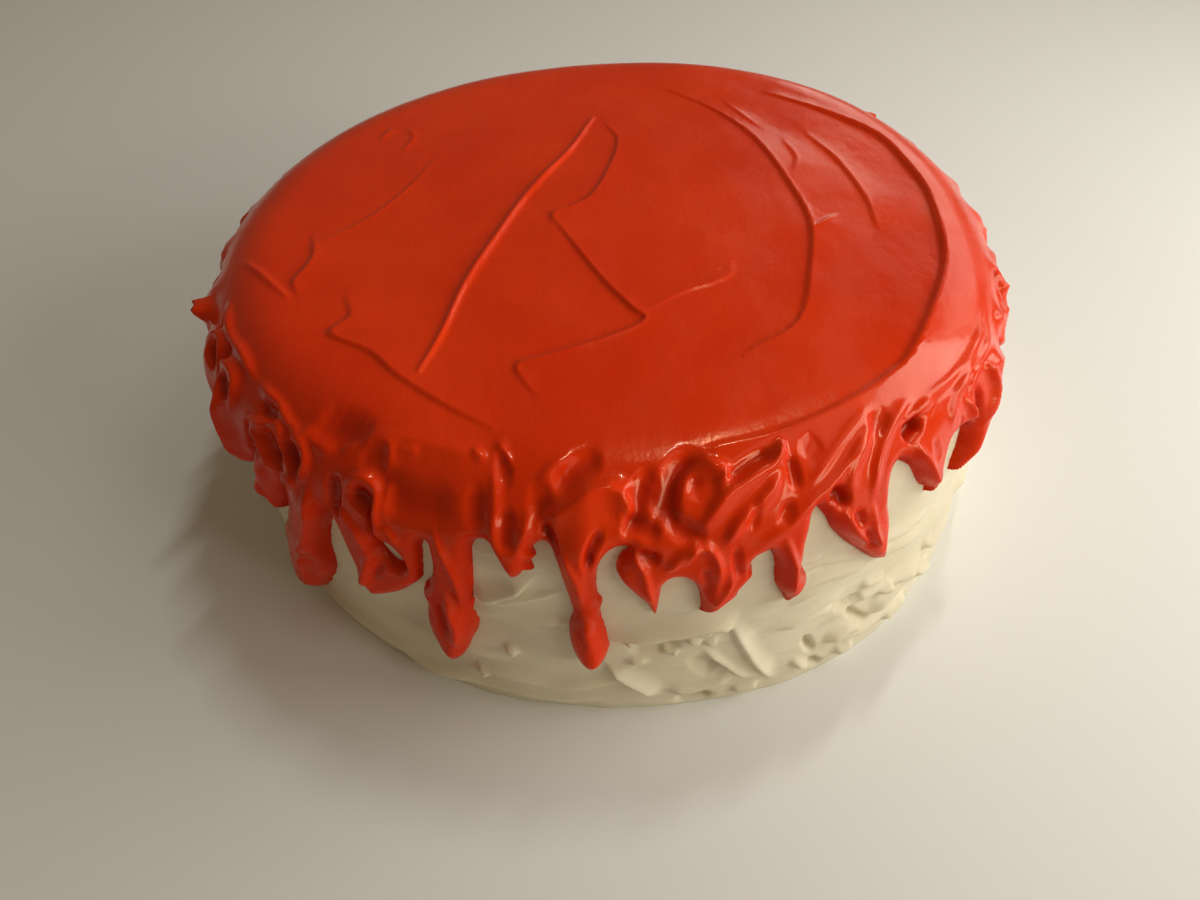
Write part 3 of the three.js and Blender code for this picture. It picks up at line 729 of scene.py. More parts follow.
# %% Folds that can be seen
FRONT_FOLDS = [
    # the bowl that feeds the long round drip
    (1.6, 2.6, 5, [(-99, 20), (-95, 15.6), (-91, 12.2), (-88.6, 12.4), (-87.5, 15), (-88.3, 19)]),
    (0.4, 2.5, 4.2, [(-97.8, 11), (-96.6, 8), (-94.8, 6)]),
    (0.4, 1.7, 3.4, [(-90.4, 11), (-88.6, 10.2), (-87, 11.4)]),
    # the big dark crescent and the round curl beside it
    (-1.6, 4.6, [(-84, 19.6), (-83, 14.6), (-81, 10), (-77.4, 7.6)]), (-1.2, 4, [(-87, 16), (-85, 11)]),
    (1.2, 2.8, [(-82, 18.5), (-81.2, 13), (-79.6, 10.2), (-77.2, 9.8), (-75.9, 11.4), (-77, 14)]),
    (-0.6, 3, [(-79.4, 12.8), (-78, 11.8)]), (-1.1, 3.2, [(-82.2, 19.6), (-80.6, 21.6)]),
    # long crests that climb to the right, ending in a small peak
    (1.6, 2.4, 4.4, [(-80, 21), (-76.6, 15.4), (-72.4, 12.6), (-69.8, 11.4), (-67.6, 9)]),
    (0.8, 1.6, [(-69, 10.6), (-68.2, 9.4), (-67.8, 8.8)]),
    (-0.9, 1.8, [(-76.4, 13), (-72.6, 10.8), (-69.2, 10)]),
    (1.3, 2, 3.4, [(-77.4, 25), (-75.4, 20.4), (-72, 17), (-69.2, 14)]),
    (-0.9, 2, [(-67.9, 11.6), (-67.7, 14), (-68, 18)]), (-0.6, 1.8, [(-73.9, 21.4), (-73.4, 18.8)]),
    (-0.7, 1.9, [(-70.6, 23.4), (-69, 20)]),
    (0.9, 2.6, 3.4, [(-74, 27), (-70.6, 24.6), (-67, 21.4), (-63, 18.6), (-58, 14), (-54, 11.4)]),
    (0.6, 3, 3.4, [(-67, 18.6), (-62.5, 14.2), (-58, 11), (-54.6, 9.6)]),
    (-0.4, 2.6, [(-66, 12), (-63, 10.2)]), (-0.8, 2.6, [(-55.6, 13.4), (-53.4, 12.2)]),
    (0.7, 2.4, 3.4, [(-62, 22.6), (-59.8, 17.4), (-56.6, 14.4)]),
    (0.8, 2.2, 3, [(-58.8, 27), (-57.2, 20), (-54.6, 16), (-51.5, 13.6), (-48, 12.6)]),
    # hollows above the slanted drip and the curl, and their grooves
    (-2.0, 2.4, [(-64.2, 21.4), (-62.8, 22.4), (-62, 25.6)]), (-0.9, 1.8, [(-60.8, 27.6), (-60.2, 32)]),
    (1.1, 1.6, 2.2, [(-62.8, 25.6), (-61, 33), (-58.3, 41)]),
    (1.0, 1.6, 2, [(-58.8, 28), (-58.2, 36), (-56.6, 45)]),
    (-0.8, 1.2, [(-59.6, 33), (-58.6, 39), (-57.4, 44)]),
    (-2.4, 2.2, [(-52, 18.4), (-50.4, 17.8), (-48.2, 17.2)]),
    (1.0, 1.6, 1.2, [(-51, 16), (-48, 15.4), (-45, 16)]),
    (1.3, 2, 2.4, [(-50.6, 21), (-49.6, 26), (-48, 32), (-46.6, 37.4)]),
    (-1.0, 1.4, [(-51.8, 23), (-51, 27), (-49.8, 31)]), (-0.5, 1.8, [(-47.6, 23), (-47.2, 29)]),
    # streaks towards the right, and the broad leaf
    (0.6, 1.4, 2, [(-47, 14), (-40, 15.4), (-33, 15.8), (-25, 14.8)]),
    (0.7, 1.4, 2, [(-44, 17.4), (-37, 18.4), (-31, 18), (-24, 17)]),
    (0.8, 1.6, 2.2, [(-43.6, 24), (-42, 20), (-38, 17.6), (-33, 16.6)]),
    (0.7, 1.4, 2, [(-38.4, 23), (-36.6, 20), (-33, 18.6)]),
    (1.4, 2.6, 2.8, [(-39.4, 21), (-38.2, 27), (-38.6, 33), (-39.9, 41)]),
    (-1.5, 2.4, [(-35.6, 22), (-36, 31), (-37.8, 38)]), (1.2, 2.2, [(-32.8, 19.4), (-32.2, 27), (-35, 34)]),
    (-0.7, 1.3, [(-41, 24), (-40.4, 32), (-40.2, 38)]),
    # the pointed drip, the leaf and the bent drip
    (-1.2, 2.2, [(-86.2, 25.2), (-85.2, 25.8)]),
    (1.1, 1.6, 2, [(-87.6, 24.6), (-86.4, 28), (-85.9, 35), (-85.4, 42)]),
    (1.1, 1.8, 2.2, [(-84, 29), (-81.9, 25.4), (-79.8, 22.4)]),
    (1.2, 1.6, 1.8, [(-82, 28), (-80.6, 24.6), (-79.2, 24.8), (-78.3, 28), (-78.1, 34)]),
    (-0.8, 1.6, [(-79.7, 29), (-79.3, 35), (-79.6, 41)]),
    (0.9, 1.8, [(-76.4, 32), (-77.4, 39), (-79.6, 44)]), (-0.8, 1.5, [(-76, 26), (-76, 31), (-75.4, 36)]),
    (1.0, 1.6, 2.2, [(-70.2, 27), (-69.4, 34), (-69.2, 41), (-69.2, 47)]),
    (-0.6, 1.2, [(-70.6, 32), (-70.3, 39), (-69.9, 44)]),
    # the long round drip, the creases beside its funnel, and the stub
    (-1.2, 1.6, [(-97.2, 17.6), (-96, 22), (-95.2, 29)]),
    (-1.0, 1.6, [(-90.6, 19), (-91.8, 23), (-92.4, 28)]),
    (-0.7, 1.1, [(-94.4, 40), (-94.2, 48), (-93.8, 56)]),
    (0.7, 1.6, 2.4, [(-95.4, 23), (-93.8, 30), (-93.4, 40)]),
    (-0.5, 1.2, [(-92, 22), (-92.2, 30), (-92.3, 40)]),
    (0.6, 2.8, 3.4, [(-103.4, 10), (-102.6, 16), (-102.6, 22), (-101.6, 28)]),
    (-1.0, 2.7, [(-101.2, 16), (-100.8, 25)]), (0.6, 1.8, 2.6, [(-98.2, 15), (-99, 20), (-99.4, 27)]),
    (-0.6, 2.5, [(-103, 6.4), (-101.8, 11)]), (0.6, 1.1, 1.7, [(-104.4, 3), (-103, 5), (-101.3, 8.2)]),
    # the two wide drips left of them
    (1.0, 2, 2.6, [(-109.6, 23), (-108.2, 30), (-107.6, 38), (-107.4, 50)]),
    (-1.0, 1.5, [(-110.9, 47), (-110.8, 56), (-111.2, 63)]),
    (1.1, 2, 2.4, [(-109.7, 42), (-109, 54), (-109.9, 66)]),
    (0.8, 2, 3, [(-130.6, 46), (-132.6, 54), (-134.8, 64), (-136.4, 73)]),
    (1.5, 2.2, 3.2, [(-122, 20.6), (-119.6, 17.3), (-117.4, 18.2), (-116.7, 22), (-117, 29)]),
    (-1.7, 3, [(-119.4, 21.4), (-118.4, 22.4)]),
    (1.0, 1.8, 2.4, [(-123.6, 25), (-121, 28.4), (-119.4, 32), (-119, 40)]),
    (1.2, 2.2, 3, [(-119.2, 38), (-120.8, 47), (-123.6, 58)]),
    (-0.8, 1.6, [(-117, 36), (-118.6, 43), (-120.4, 49)]),
    (0.9, 1.8, 2.4, [(-117.4, 29), (-115.6, 26.6), (-113.8, 30)]), (0.8, 3, [(-116, 16.6), (-115.6, 24)]),
    # scallops along the shoulder on the left
    (-1.0, 5.4, [(-127, 10.6), (-122.6, 10)]),
    (0.8, 2.4, 3.6, [(-130.6, 14), (-127.6, 15.6), (-124.4, 15)]),
    (0.7, 3.6, 4.5, [(-121.8, 14), (-120, 10), (-118, 9.4), (-116.7, 11.6), (-117, 15)]),
    (-0.6, 3.6, [(-119.4, 13), (-118.4, 12.6)]),
    # the web of crests on the left side
    (1.1, 1.8, 3.2, [(-142, 13.4), (-136, 13.8), (-132, 15.4), (-128.6, 16)]),
    (1.4, 1.8, 2.8, [(-141.6, 21.8), (-138.4, 20.4), (-136, 18.4), (-134, 17.3), (-132.7, 19), (-133, 22)]),
    (1.3, 1.8, 2.4, [(-132.2, 17.4), (-129, 17.2), (-127.9, 20.4), (-128.8, 25)]),
    (1.1, 1.8, 2.2, [(-141.6, 22.6), (-137.8, 23.4), (-136, 26), (-133.8, 29)]),
    (1.0, 1.6, 2, [(-134.6, 30), (-131.6, 27.6), (-129, 25.6)]), (-1.0, 3, [(-139, 16.8), (-135, 16)]),
    (-1.8, 2.8, [(-131.2, 20.4), (-130, 22.6)]), (-1.0, 3, [(-136, 21), (-134.4, 23.6)]),
    (-0.9, 3, [(-140, 25.4), (-138.4, 26.6)]),
    (0.9, 3, [(-127, 24), (-127.6, 34), (-130, 46), (-131.2, 54)]),
    (1.2, 2, 3, [(-161, 12), (-154, 13.6), (-148, 12.8), (-142, 14)]),
    (1.4, 2, 2.8, [(-151.4, 23), (-150.4, 18), (-147.6, 16.6), (-145.2, 18.4), (-144.8, 24)]),
    (1.4, 2, 2.8, [(-158.6, 22), (-156.6, 17), (-154, 16.8), (-152.4, 19.6), (-152.4, 25)]),
    (-1.6, 2.6, [(-148.4, 20.6), (-147, 22)]), (-1.6, 2.6, [(-155.8, 20.6), (-154.4, 22)]),
    (1.0, 2, [(-148, 24), (-147, 31), (-145.4, 39)]), (1.0, 2, [(-141.4, 29), (-140.6, 36), (-138.8, 47)]),
    (3.6, 3.4, [(-167.4, 21.6), (-165.4, 20.8), (-163.2, 21.8)]),
    # valleys that run up between the drips, and the drop under the rim left of the middle
    (-0.8, 3.9, [(-97.6, 13), (-97, 20)]), (-1.3, 3, [(-123.4, 19), (-123.1, 30)]),
    (-1.3, 3, [(-133.6, 21), (-133.4, 32)]), (-1.3, 3, [(-140.4, 21), (-140.2, 30)]),
    (-1.4, 3.2, [(-151.6, 15), (-151.4, 26)]), (-0.9, 4.4, [(-94.6, 9.8), (-92.2, 6.4)]),
    # the rim rolls over on the left, and the wall falls back under it
    (0.5, 5, [(-120, 7.6), (-112, 7.2), (-105, 7)]), (-0.9, 6, [(-119, 16.4), (-113, 18.6), (-107, 17.6)]),
    (-0.7, 3.2, [(-105.2, 14), (-104.4, 20.6)]), (0.5, 1.4, 1.8, [(-106.8, 6), (-105, 7.6)]),
    (0.5, 1.6, 2.2, [(-115.6, 9.8), (-114, 9.2)]), (0.6, 1.6, 2, [(-123.4, 14), (-121.8, 12.4)]),
    (-1.0, 3, [(-88.6, 18), (-84, 20.4)]),
]

print("folds placed by eye:", len(FRONT_FOLDS))

# %% [markdown]
# The sides and the back repeat strokes of the same kind. A seeded draw picks one from a
# part of the list, turns some of them round, and moves them on in small steps. They are
# lower at the two sides, where they would stand out in the cake's outline.

# %% Folds at the sides and the back
FOLD_STRENGTH = 1.4
HIGHEST_FOLD = 19.0
LOWEST_COPIED = 26
NARROWEST_COPIED = 3.4
SIDE_TURN = 92.0
SIDE_REACH = 34.0
SIDE_CALM = 0.6
FOLD_SEED = 47
COPY_FROM = 8
COPY_TO = 61


def scattered_folds():
    """Strokes like the front ones, moved and varied by a seeded draw."""
    random = np.random.RandomState(FOLD_SEED)
    made = []
    azimuth = -26.0
    while azimuth < 198.0:
        height, *widths, points = FRONT_FOLDS[random.randint(COPY_FROM, COPY_TO)]
        middle = points[len(points) // 2]
        if middle[1] < LOWEST_COPIED and widths[0] + widths[-1] > NARROWEST_COPIED:
            flip = random.choice((-1.0, 1.0))
            grow = random.uniform(0.8, 1.25)
            highest = min(old_down for _, old_down in points)
            lower = max(random.uniform(-2.0, 3.0), HIGHEST_FOLD - highest)
            copied = []
            for old_azimuth, old_down in points:
                new_azimuth = azimuth + grow * flip * (old_azimuth - middle[0])
                copied.append((new_azimuth, old_down + lower))
            sides = widths if flip > 0 else widths[::-1]
            beside = abs(abs(azimuth - BACK) - SIDE_TURN) < SIDE_REACH
            height = height * random.uniform(0.9, 1.3) * (SIDE_CALM if beside else 1.0)
            made.append((height, *sides, copied))
            azimuth += random.uniform(1.4, 3.2)
    return made


fold_strokes = on_skin(FRONT_FOLDS + wrapped(scattered_folds()))
print("folds over the shoulder:", len(fold_strokes))

# %% [markdown]
# On the flat top the knife left long lines: a thin ridge, a step in the level, or both.
# Between them the icing is not quite flat, and it rises a little towards the far rim.

# %% Marks on the flat top
TOP_MARKS = [
    # points in mm from the middle of the top, then the ridge, the step and its fade
    ([(-2, 60), (-10, 37), (-22, 12), (-31, -14), (-38, -37), (-42, -58), (-46, -73)], 0.75, 0.15, 9),
    ([(3, 53), (6, 44), (4, 30), (-2, 10), (-8, 3), (-14, 0), (-15, -5)], 0.05, -0.5, 8),
    ([(-15, -3), (-10, -14), (0, -36), (8, -50), (11, -55), (2, -61), (-14, -68), (-22, -72),
      (-18, -81)], 0.15, -0.5, 9),
    ([(14, -50), (23, -43), (30, -40), (36, -36), (37, -31)], 0.05, -0.3, 6),
    ([(27, 78), (40, 64), (52, 42), (59, 14), (62, -10), (58, -34), (51, -57), (38, -67)], 0.12, -0.5, 10),
    ([(70, 43), (77, 25), (81, 2), (81, -14)], 0.1, -0.35, 6),
    ([(62, 72), (78, 58), (92, 40), (98, 18), (99.5, 0), (96, -28), (87, -50), (76, -69), (68, -77.5),
      (59, -84.5), (48.4, -91), (37, -96), (26, -99)], 0.1, -1.0, 6),
    ([(-86, -12), (-84, -20), (-85, -27), (-87, -33), (-85, -38)], 0.1, -0.55, 5),
    ([(-104, -19), (-98, -26), (-92, -34), (-87, -40)], 0.5, 0.1, 6),
    ([(-84, -14), (-70, 0), (-61, 17), (-55, 33)], 0.12, 0.2, 7),
    ([(-70, -43), (-68, -50), (-72, -57), (-60, -65), (-51, -75), (-38, -86), (-28, -93)], 0.05, -0.55, 8),
    ([(-75, 50), (-72, 56)], 0.3, 0.1, 4), ([(-66, 41), (-64, 49), (-66, 56)], 0.25, 0.1, 4),
    ([(45, 68), (54, 50)], 0.1, -0.2, 5), ([(62, 38), (64, 28), (62, 20)], 0.1, -0.2, 5),
    ([(62, -14), (70, -7)], 0.1, 0.2, 4),
]
MARK_HALF = 0.8
MARK_STRENGTH = 1.5
RISES_TO = 60.0


def mark_relief(across, deep, line, ridge, step, fade):
    """A thin ridge along the line, and a step that fades away on one side of it."""
    away, side, share = along_line(across, deep, line)
    ends = np.sin(math.pi * np.clip(share * 0.92 + 0.04, 0.0, 1.0)) ** 0.5
    signed = away * side * (1.0 if step < 0 else -1.0)
    stepped = abs(step) * smoothstep(-0.5, 0.5, signed) * np.exp(-away / fade)
    return MARK_STRENGTH * ends * (ridge * np.exp(-(away / MARK_HALF) ** 2) + stepped)


top_lines = [(smooth_line(points), ridge, step, fade) for points, ridge, step, fade in TOP_MARKS]


def top_relief(azimuth, down):
    """How far the icing on the flat top stands above or below level, in mm."""
    radius, across, deep = flat_place(azimuth, down)
    relief = 0.09 * np.sin(across / 13.0 + 1.3 * np.sin(deep / 21.0)) * np.cos(deep / 17.0 + 0.5)
    relief += 0.06 * np.sin(across / 6.1 + deep / 9.7 + 2.0 * np.sin(deep / 25.0))
    away = np.abs(degrees_from(azimuth, RISES_TO))
    relief += 0.9 * (1.0 - smoothstep(0.0, 60.0, away)) * smoothstep(76.0, 95.0, radius)
    for line, ridge, step, fade in top_lines:
        near = box_near(across, deep, line, 3 * fade) & (down < 14.0)
        if near.any():
            relief[near] += mark_relief(across[near], deep[near], line, ridge, step, fade)
    return relief * (1.0 - smoothstep(4.0, 16.0, down))


print("marks on the top:", len(top_lines))

# %% [markdown]
# ## The sheet of icing
#
# The icing starts as one flat grid. It is rounded to a disc, like a cloth cut to shape, and
# split finer with `subdivide_edges` only where there is detail: once near the marks and on
# the shoulder, and twice where the camera is close. Draped over the cake and raised by its
# thickness, it becomes the outside of the icing.

# %% Make and refine the flat sheet
SHEET_CELLS = 146
SHEET_EDGE = 187.5
CLOSE_TO_CAMERA = 78.0


def square_to_disc(x, y):
    """An even map from the square to the disc, for -1 to 1 both ways."""
    wide = np.abs(x) > np.abs(y)
    radius = np.where(wide, x, y)
    top = np.where(wide, y, x)
    ratio = top / np.where(np.abs(radius) < 1e-9, 1.0, radius)
    angle = np.where(wide, ratio * math.pi / 4, math.pi / 2 - ratio * math.pi / 4)
    return radius * np.cos(angle), radius * np.sin(angle)


def place_of(flat):
    """Azimuth and way down of points on the flat disc, in mm."""
    radius = np.hypot(flat[:, 0], flat[:, 1])
    azimuth = np.degrees(np.arctan2(flat[:, 1], flat[:, 0]))
    return azimuth, radius - TOP_FLAT_RADIUS


def refine(shape, wanted):
    """Splits the edges of the faces whose middle lies in the wanted zone."""
    centres = np.array([face.calc_center_median() for face in shape.faces])
    picked = wanted(*place_of(centres))
    edges = dict.fromkeys(edge for face, pick in zip(shape.faces, picked) if pick for edge in face.edges)
    bmesh.ops.subdivide_edges(shape, edges=list(edges), cuts=1, use_grid_fill=True)


def near_marks(azimuth, down, reach):
    """Which places are within reach, in mm, of a mark on the top."""
    _, across, deep = flat_place(azimuth, down)
    near = np.zeros(len(across), bool)
    for line, *_ in top_lines:
        for one, two in zip(line[:-1], line[1:]):
            near |= line_distance(across, deep, one, two)[0] < reach
    return near


def first_zone(azimuth, down):
    """The shoulder, the drips and a strip round each mark on the top."""
    skirt = (inside_icing(azimuth, down) > -3.0) & (down > 0.0)
    return skirt | ((down < 0.0) & near_marks(azimuth, down, 4.0))


def second_zone(azimuth, down):
    """What the camera sees from close by, and a narrow strip round each mark."""
    close = np.abs(degrees_from(azimuth, FRONT)) < CLOSE_TO_CAMERA
    front = close & (down > 4.0) & (inside_icing(azimuth, down) > -1.0)
    return front | ((down < 4.0) & near_marks(azimuth, down, 1.7))


sheet = bmesh.new()
bmesh.ops.create_grid(sheet, x_segments=SHEET_CELLS, y_segments=SHEET_CELLS, size=1.0)
square = np.array([v.co for v in sheet.verts])
disc_x, disc_y = square_to_disc(square[:, 0], square[:, 1])
for vertex, x, y in zip(sheet.verts, disc_x, disc_y):
    vertex.co = Vector((x * SHEET_EDGE, y * SHEET_EDGE, 0.0))
refine(sheet, first_zone)
refine(sheet, second_zone)
print("sheet of icing:", len(sheet.faces), "faces")

# %% [markdown]
# Each vertex of the flat sheet has an azimuth and a way down, so it can be laid on the
# skin. Its height is the thickness, the folds and the marks of the top, over the swell of
# the cream. The rim, now under the cream, is drawn inwards and closed to make a solid.

# %% Drape the sheet over the cake
flat = np.array([v.co for v in sheet.verts])
azimuth, down = place_of(flat)
inside = inside_icing(azimuth, down)
thickness = icing_thickness(azimuth, down, inside)
folds = stroke_relief(around(azimuth), down, fold_strokes)
folded = FOLD_STRENGTH * smoothstep(0.3, 3.0, inside) * smoothstep(1.0, 5.0, down)
height = thickness + folded * folds + top_relief(azimuth, down)
under = cream_swell(azimuth, down) * smoothstep(10.0, 26.0, down)
points = skin_points(azimuth, down, height + under)
for vertex, point in zip(sheet.verts, points):
    vertex.co = Vector(point) * MM
rim_edges = [edge for edge in sheet.edges if edge.is_boundary]
rim = bmesh.ops.extrude_edge_only(sheet, edges=rim_edges)["geom"]
rim_vertices = [item for item in rim if isinstance(item, bmesh.types.BMVert)]
for vertex in rim_vertices:
    vertex.co = Vector((vertex.co.x * 0.5, vertex.co.y * 0.5, vertex.co.z))
rim_edges = [edge for edge in sheet.edges if edge.is_boundary]
bmesh.ops.holes_fill(sheet, edges=rim_edges, sides=0)
bmesh.ops.recalc_face_normals(sheet, faces=sheet.faces[:])
icing = mesh_object("icing", sheet)
print("draped icing:", len(icing.data.polygons), "faces")

# %% [markdown]
# The draped form is solid all the way through. A boolean takes the cake out of it, so that
# a shell is left whose drips end cleanly on the cream. The cutter sits one millimetre under
# the cream's surface, so the icing is bedded in it and no light shows between them.

# %% Hollow the icing
BEDDED = 1.0
CUTTER_COLUMNS = 300
cutter_rows = np.concatenate([[FOOT_DOWN], np.linspace(FOOT_DOWN - 2.0, 3.0, 38), [0.0]])
cutter = spun_body("cutter", cutter_rows, CUTTER_COLUMNS, cream_swell, BEDDED)
icing.data.materials.append(bpy.data.materials.new("outside"))
cutter.data.materials.append(bpy.data.materials.new("underside"))
hollow = icing.modifiers.new("hollow", "BOOLEAN")
hollow.operation = "DIFFERENCE"
hollow.object = cutter
hollow.solver = "MANIFOLD"
hollow.material_mode = "TRANSFER"
bpy.context.view_layer.update()
after_cut = icing.evaluated_get(bpy.context.evaluated_depsgraph_get())
cut = bpy.data.meshes.new_from_object(after_cut)
icing.modifiers.clear()
icing.data = cut
bpy.data.objects.remove(cutter)
print("icing shell:", len(cut.polygons), "faces")

# %% [markdown]
# The cut leaves loose scraps, which are dropped, and a sharp edge where the outside meets
# the underside. Two numbers are then stored at each vertex for the finish to read. The
# first, "hollow", says how deep in a fold or how near a drip's edge it is; there shade is
# painted into the colour as a darker red. The second, "steep", says how far its face is
# from lying level.

# %% Tidy the shell
# strength of the painted shade, a darker red, along the lower edges of the drips
EDGE_SHADE = 0.3
shell = bmesh.new()
shell.from_mesh(icing.data)
bmesh.ops.dissolve_degenerate(shell, dist=1e-6, edges=shell.edges[:])


def islands(shape):
    """Groups of faces that hang together, the largest first."""
    left = set(shape.faces)
    groups = []
    while left:
        group = []
        queue = [left.pop()]
        while queue:
            face = queue.pop()
            group.append(face)
            for edge in face.edges:
                for other in edge.link_faces:
                    if other in left:
                        left.remove(other)
                        queue.append(other)
        groups.append(group)
    return sorted(groups, key=len, reverse=True)


def store(mesh, name, values):
    """Keeps one number for each vertex of the mesh under this name."""
    mesh.attributes.new(name, "FLOAT", "POINT").data.foreach_set("value", values)


scraps = [face for group in islands(shell)[1:] for face in group]
bmesh.ops.delete(shell, geom=scraps, context="FACES")
for edge in shell.edges:
    meets = {face.material_index for face in edge.link_faces}
    edge.smooth = len(meets) < 2
for face in shell.faces:
    face.smooth = True
    face.material_index = 0
open_edges = sum(1 for edge in shell.edges if len(edge.link_faces) != 2)
shell.to_mesh(icing.data)
shell.free()
places = np.array([vertex.co for vertex in icing.data.vertices]) / MM
azimuth, down = place_on_skin(places)
# painted shade: where the colour is darkened, in fold hollows and along the drips' edges
folds = stroke_relief(around(azimuth), down, fold_strokes) * smoothstep(3.0, 8.0, down)
at_edge = 1.0 - smoothstep(0.3, 2.4, inside_icing(azimuth, down))
edge_shade = EDGE_SHADE * smoothstep(18.0, 28.0, down) * at_edge
store(icing.data, "hollow", np.maximum(smoothstep(0.1, 1.6, -folds), edge_shade))
normals = np.empty(3 * len(places))
icing.data.vertex_normals.foreach_get("vector", normals)
store(icing.data, "steep", 1.0 - smoothstep(0.0, 0.5, normals[2::3]))
icing.data.materials.clear()
icing.data.calc_loop_triangles()
print("scraps dropped:", len(scraps), "open edges:", open_edges)
print("triangles of icing:", len(icing.data.loop_triangles))

# %% [markdown]
# ## Finishes
#
# Both are food, so both let a little light in under the surface. The red icing is wet and
# glossy, deep orange-red, with tiny bubbles. The cream is soft and satin, and faintly
# streaked by the knife. Patterns are read from Object coordinates, in metres.

# %% Finish helpers
PATTERN_LOW = 0.35
PATTERN_HIGH = 0.65


def set_inputs(node, values):
    """Gives a node's named sockets their values."""
    for socket, value in values.items():
        node.inputs[socket].default_value = value


def new_finish(name, colour, roughness):
    """A material with its shader ready, and its node tree for the patterns."""
    material = bpy.data.materials.new(name)
    material.use_nodes = True
    shader = material.node_tree.nodes["Principled BSDF"]
    set_inputs(shader, {"Base Color": (*colour, 1.0), "Roughness": roughness})
    return material, material.node_tree, shader


def noise(tree, scale, detail, stretch=(1, 1, 1)):
    """A noise pattern on the piece's own Object coordinates."""
    place = tree.nodes.new("ShaderNodeTexCoord")
    mapping = tree.nodes.new("ShaderNodeMapping")
    pattern = tree.nodes.new("ShaderNodeTexNoise")
    set_inputs(mapping, {"Scale": stretch})
    set_inputs(pattern, {"Scale": scale, "Detail": detail})
    tree.links.new(place.outputs["Object"], mapping.inputs["Vector"])
    tree.links.new(mapping.outputs["Vector"], pattern.inputs["Vector"])
    return pattern.outputs["Fac"]


def stored(tree, name):
    """The number that was stored at the vertices under this name."""
    reader = tree.nodes.new("ShaderNodeAttribute")
    reader.attribute_name = name
    return reader.outputs["Fac"]


def colour_between(tree, factor, low, high):
    """From one colour to the other over the middle of a pattern's range."""
    ramp = tree.nodes.new("ShaderNodeValToRGB")
    start, end = ramp.color_ramp.elements
    start.position = PATTERN_LOW
    start.color = (*low, 1.0)
    end.position = PATTERN_HIGH
    end.color = (*high, 1.0)
    tree.links.new(factor, ramp.inputs["Fac"])
    return ramp.outputs["Color"]


def darkened(tree, factor, base, dark):
    """The linked base colour, mixed with a plain dark one as the factor rises."""
    mix = tree.nodes.new("ShaderNodeMix")
    mix.data_type = "RGBA"
    factor_socket, base_socket, dark_socket = mix.inputs[0], mix.inputs[6], mix.inputs[7]
    dark_socket.default_value = (*dark, 1.0)
    tree.links.new(factor, factor_socket)
    tree.links.new(base, base_socket)
    return mix.outputs[2]


def number_between(tree, factor, low, high):
    """From one number to the other over the middle of a pattern's range."""
    scaled = tree.nodes.new("ShaderNodeMapRange")
    set_inputs(scaled, {"From Min": PATTERN_LOW, "From Max": PATTERN_HIGH, "To Min": low, "To Max": high})
    tree.links.new(factor, scaled.inputs["Value"])
    return scaled.outputs["Result"]


def bumped(tree, height, distance, strength, under=None):
    """Small relief in the finish, laid over another one if that is given."""
    bump = tree.nodes.new("ShaderNodeBump")
    set_inputs(bump, {"Strength": strength, "Distance": distance})
    tree.links.new(height, bump.inputs["Height"])
    if under is not None:
        tree.links.new(under, bump.inputs["Normal"])
    return bump.outputs["Normal"]


print("patterns are used from", PATTERN_LOW, "to", PATTERN_HIGH)

# %% [markdown]
# Red icing: its colour clouds a little, and shade is painted into it as a darker red in the
# hollows and along the drips' edges. Its shine is weaker on steep faces, which would
# otherwise mirror the pale table and look pink. Two bumps are laid over each other, for
# ripples and for tiny bubbles.

# %% Red icing
ICING_RED = (0.82, 0.042, 0.0032)
ICING_DEEP = (0.74, 0.031, 0.0022)
# painted shade: the darker red used in the hollows and along the drips' edges
ICING_PAINTED_SHADE = (0.46, 0.012, 0.001)
icing_finish, tree, shader = new_finish("red_icing", ICING_RED, 0.3)
clouds = colour_between(tree, noise(tree, 28.0, 3.0), ICING_DEEP, ICING_RED)
# painted shade is mixed into the base colour by the stored "hollow" number
shaded = darkened(tree, stored(tree, "hollow"), clouds, ICING_PAINTED_SHADE)
tree.links.new(shaded, shader.inputs["Base Color"])
smears = noise(tree, 90.0, 4.0, (1.0, 0.5, 1.4))
tree.links.new(number_between(tree, smears, 0.17, 0.34), shader.inputs["Roughness"])
steep = stored(tree, "steep")
tree.links.new(number_between(tree, steep, 0.32, 0.06), shader.inputs["Specular IOR Level"])
tree.links.new(number_between(tree, steep, 0.2, 0.04), shader.inputs["Coat Weight"])
set_inputs(shader, {
    "Specular Tint": (1.0, 0.6, 0.28, 1.0),
    "Subsurface Weight": 0.08,
    "Subsurface Radius": (1.0, 0.12, 0.05),
    "Subsurface Scale": 0.0025,
    "Coat Roughness": 0.06,
})
ripples = bumped(tree, noise(tree, 160.0, 3.0, (1.0, 0.6, 1.6)), 0.0006, 0.35)
bubbles = bumped(tree, noise(tree, 900.0, 1.0), 0.0001, 0.3, ripples)
tree.links.new(bubbles, shader.inputs["Normal"])
icing.data.materials.append(icing_finish)
print("finish of the icing:", icing_finish.name)

# %% [markdown]
# Cream frosting: the same helpers with a warmer and a paler cream, streaks that are
# stretched level by the knife, and a fine grain.

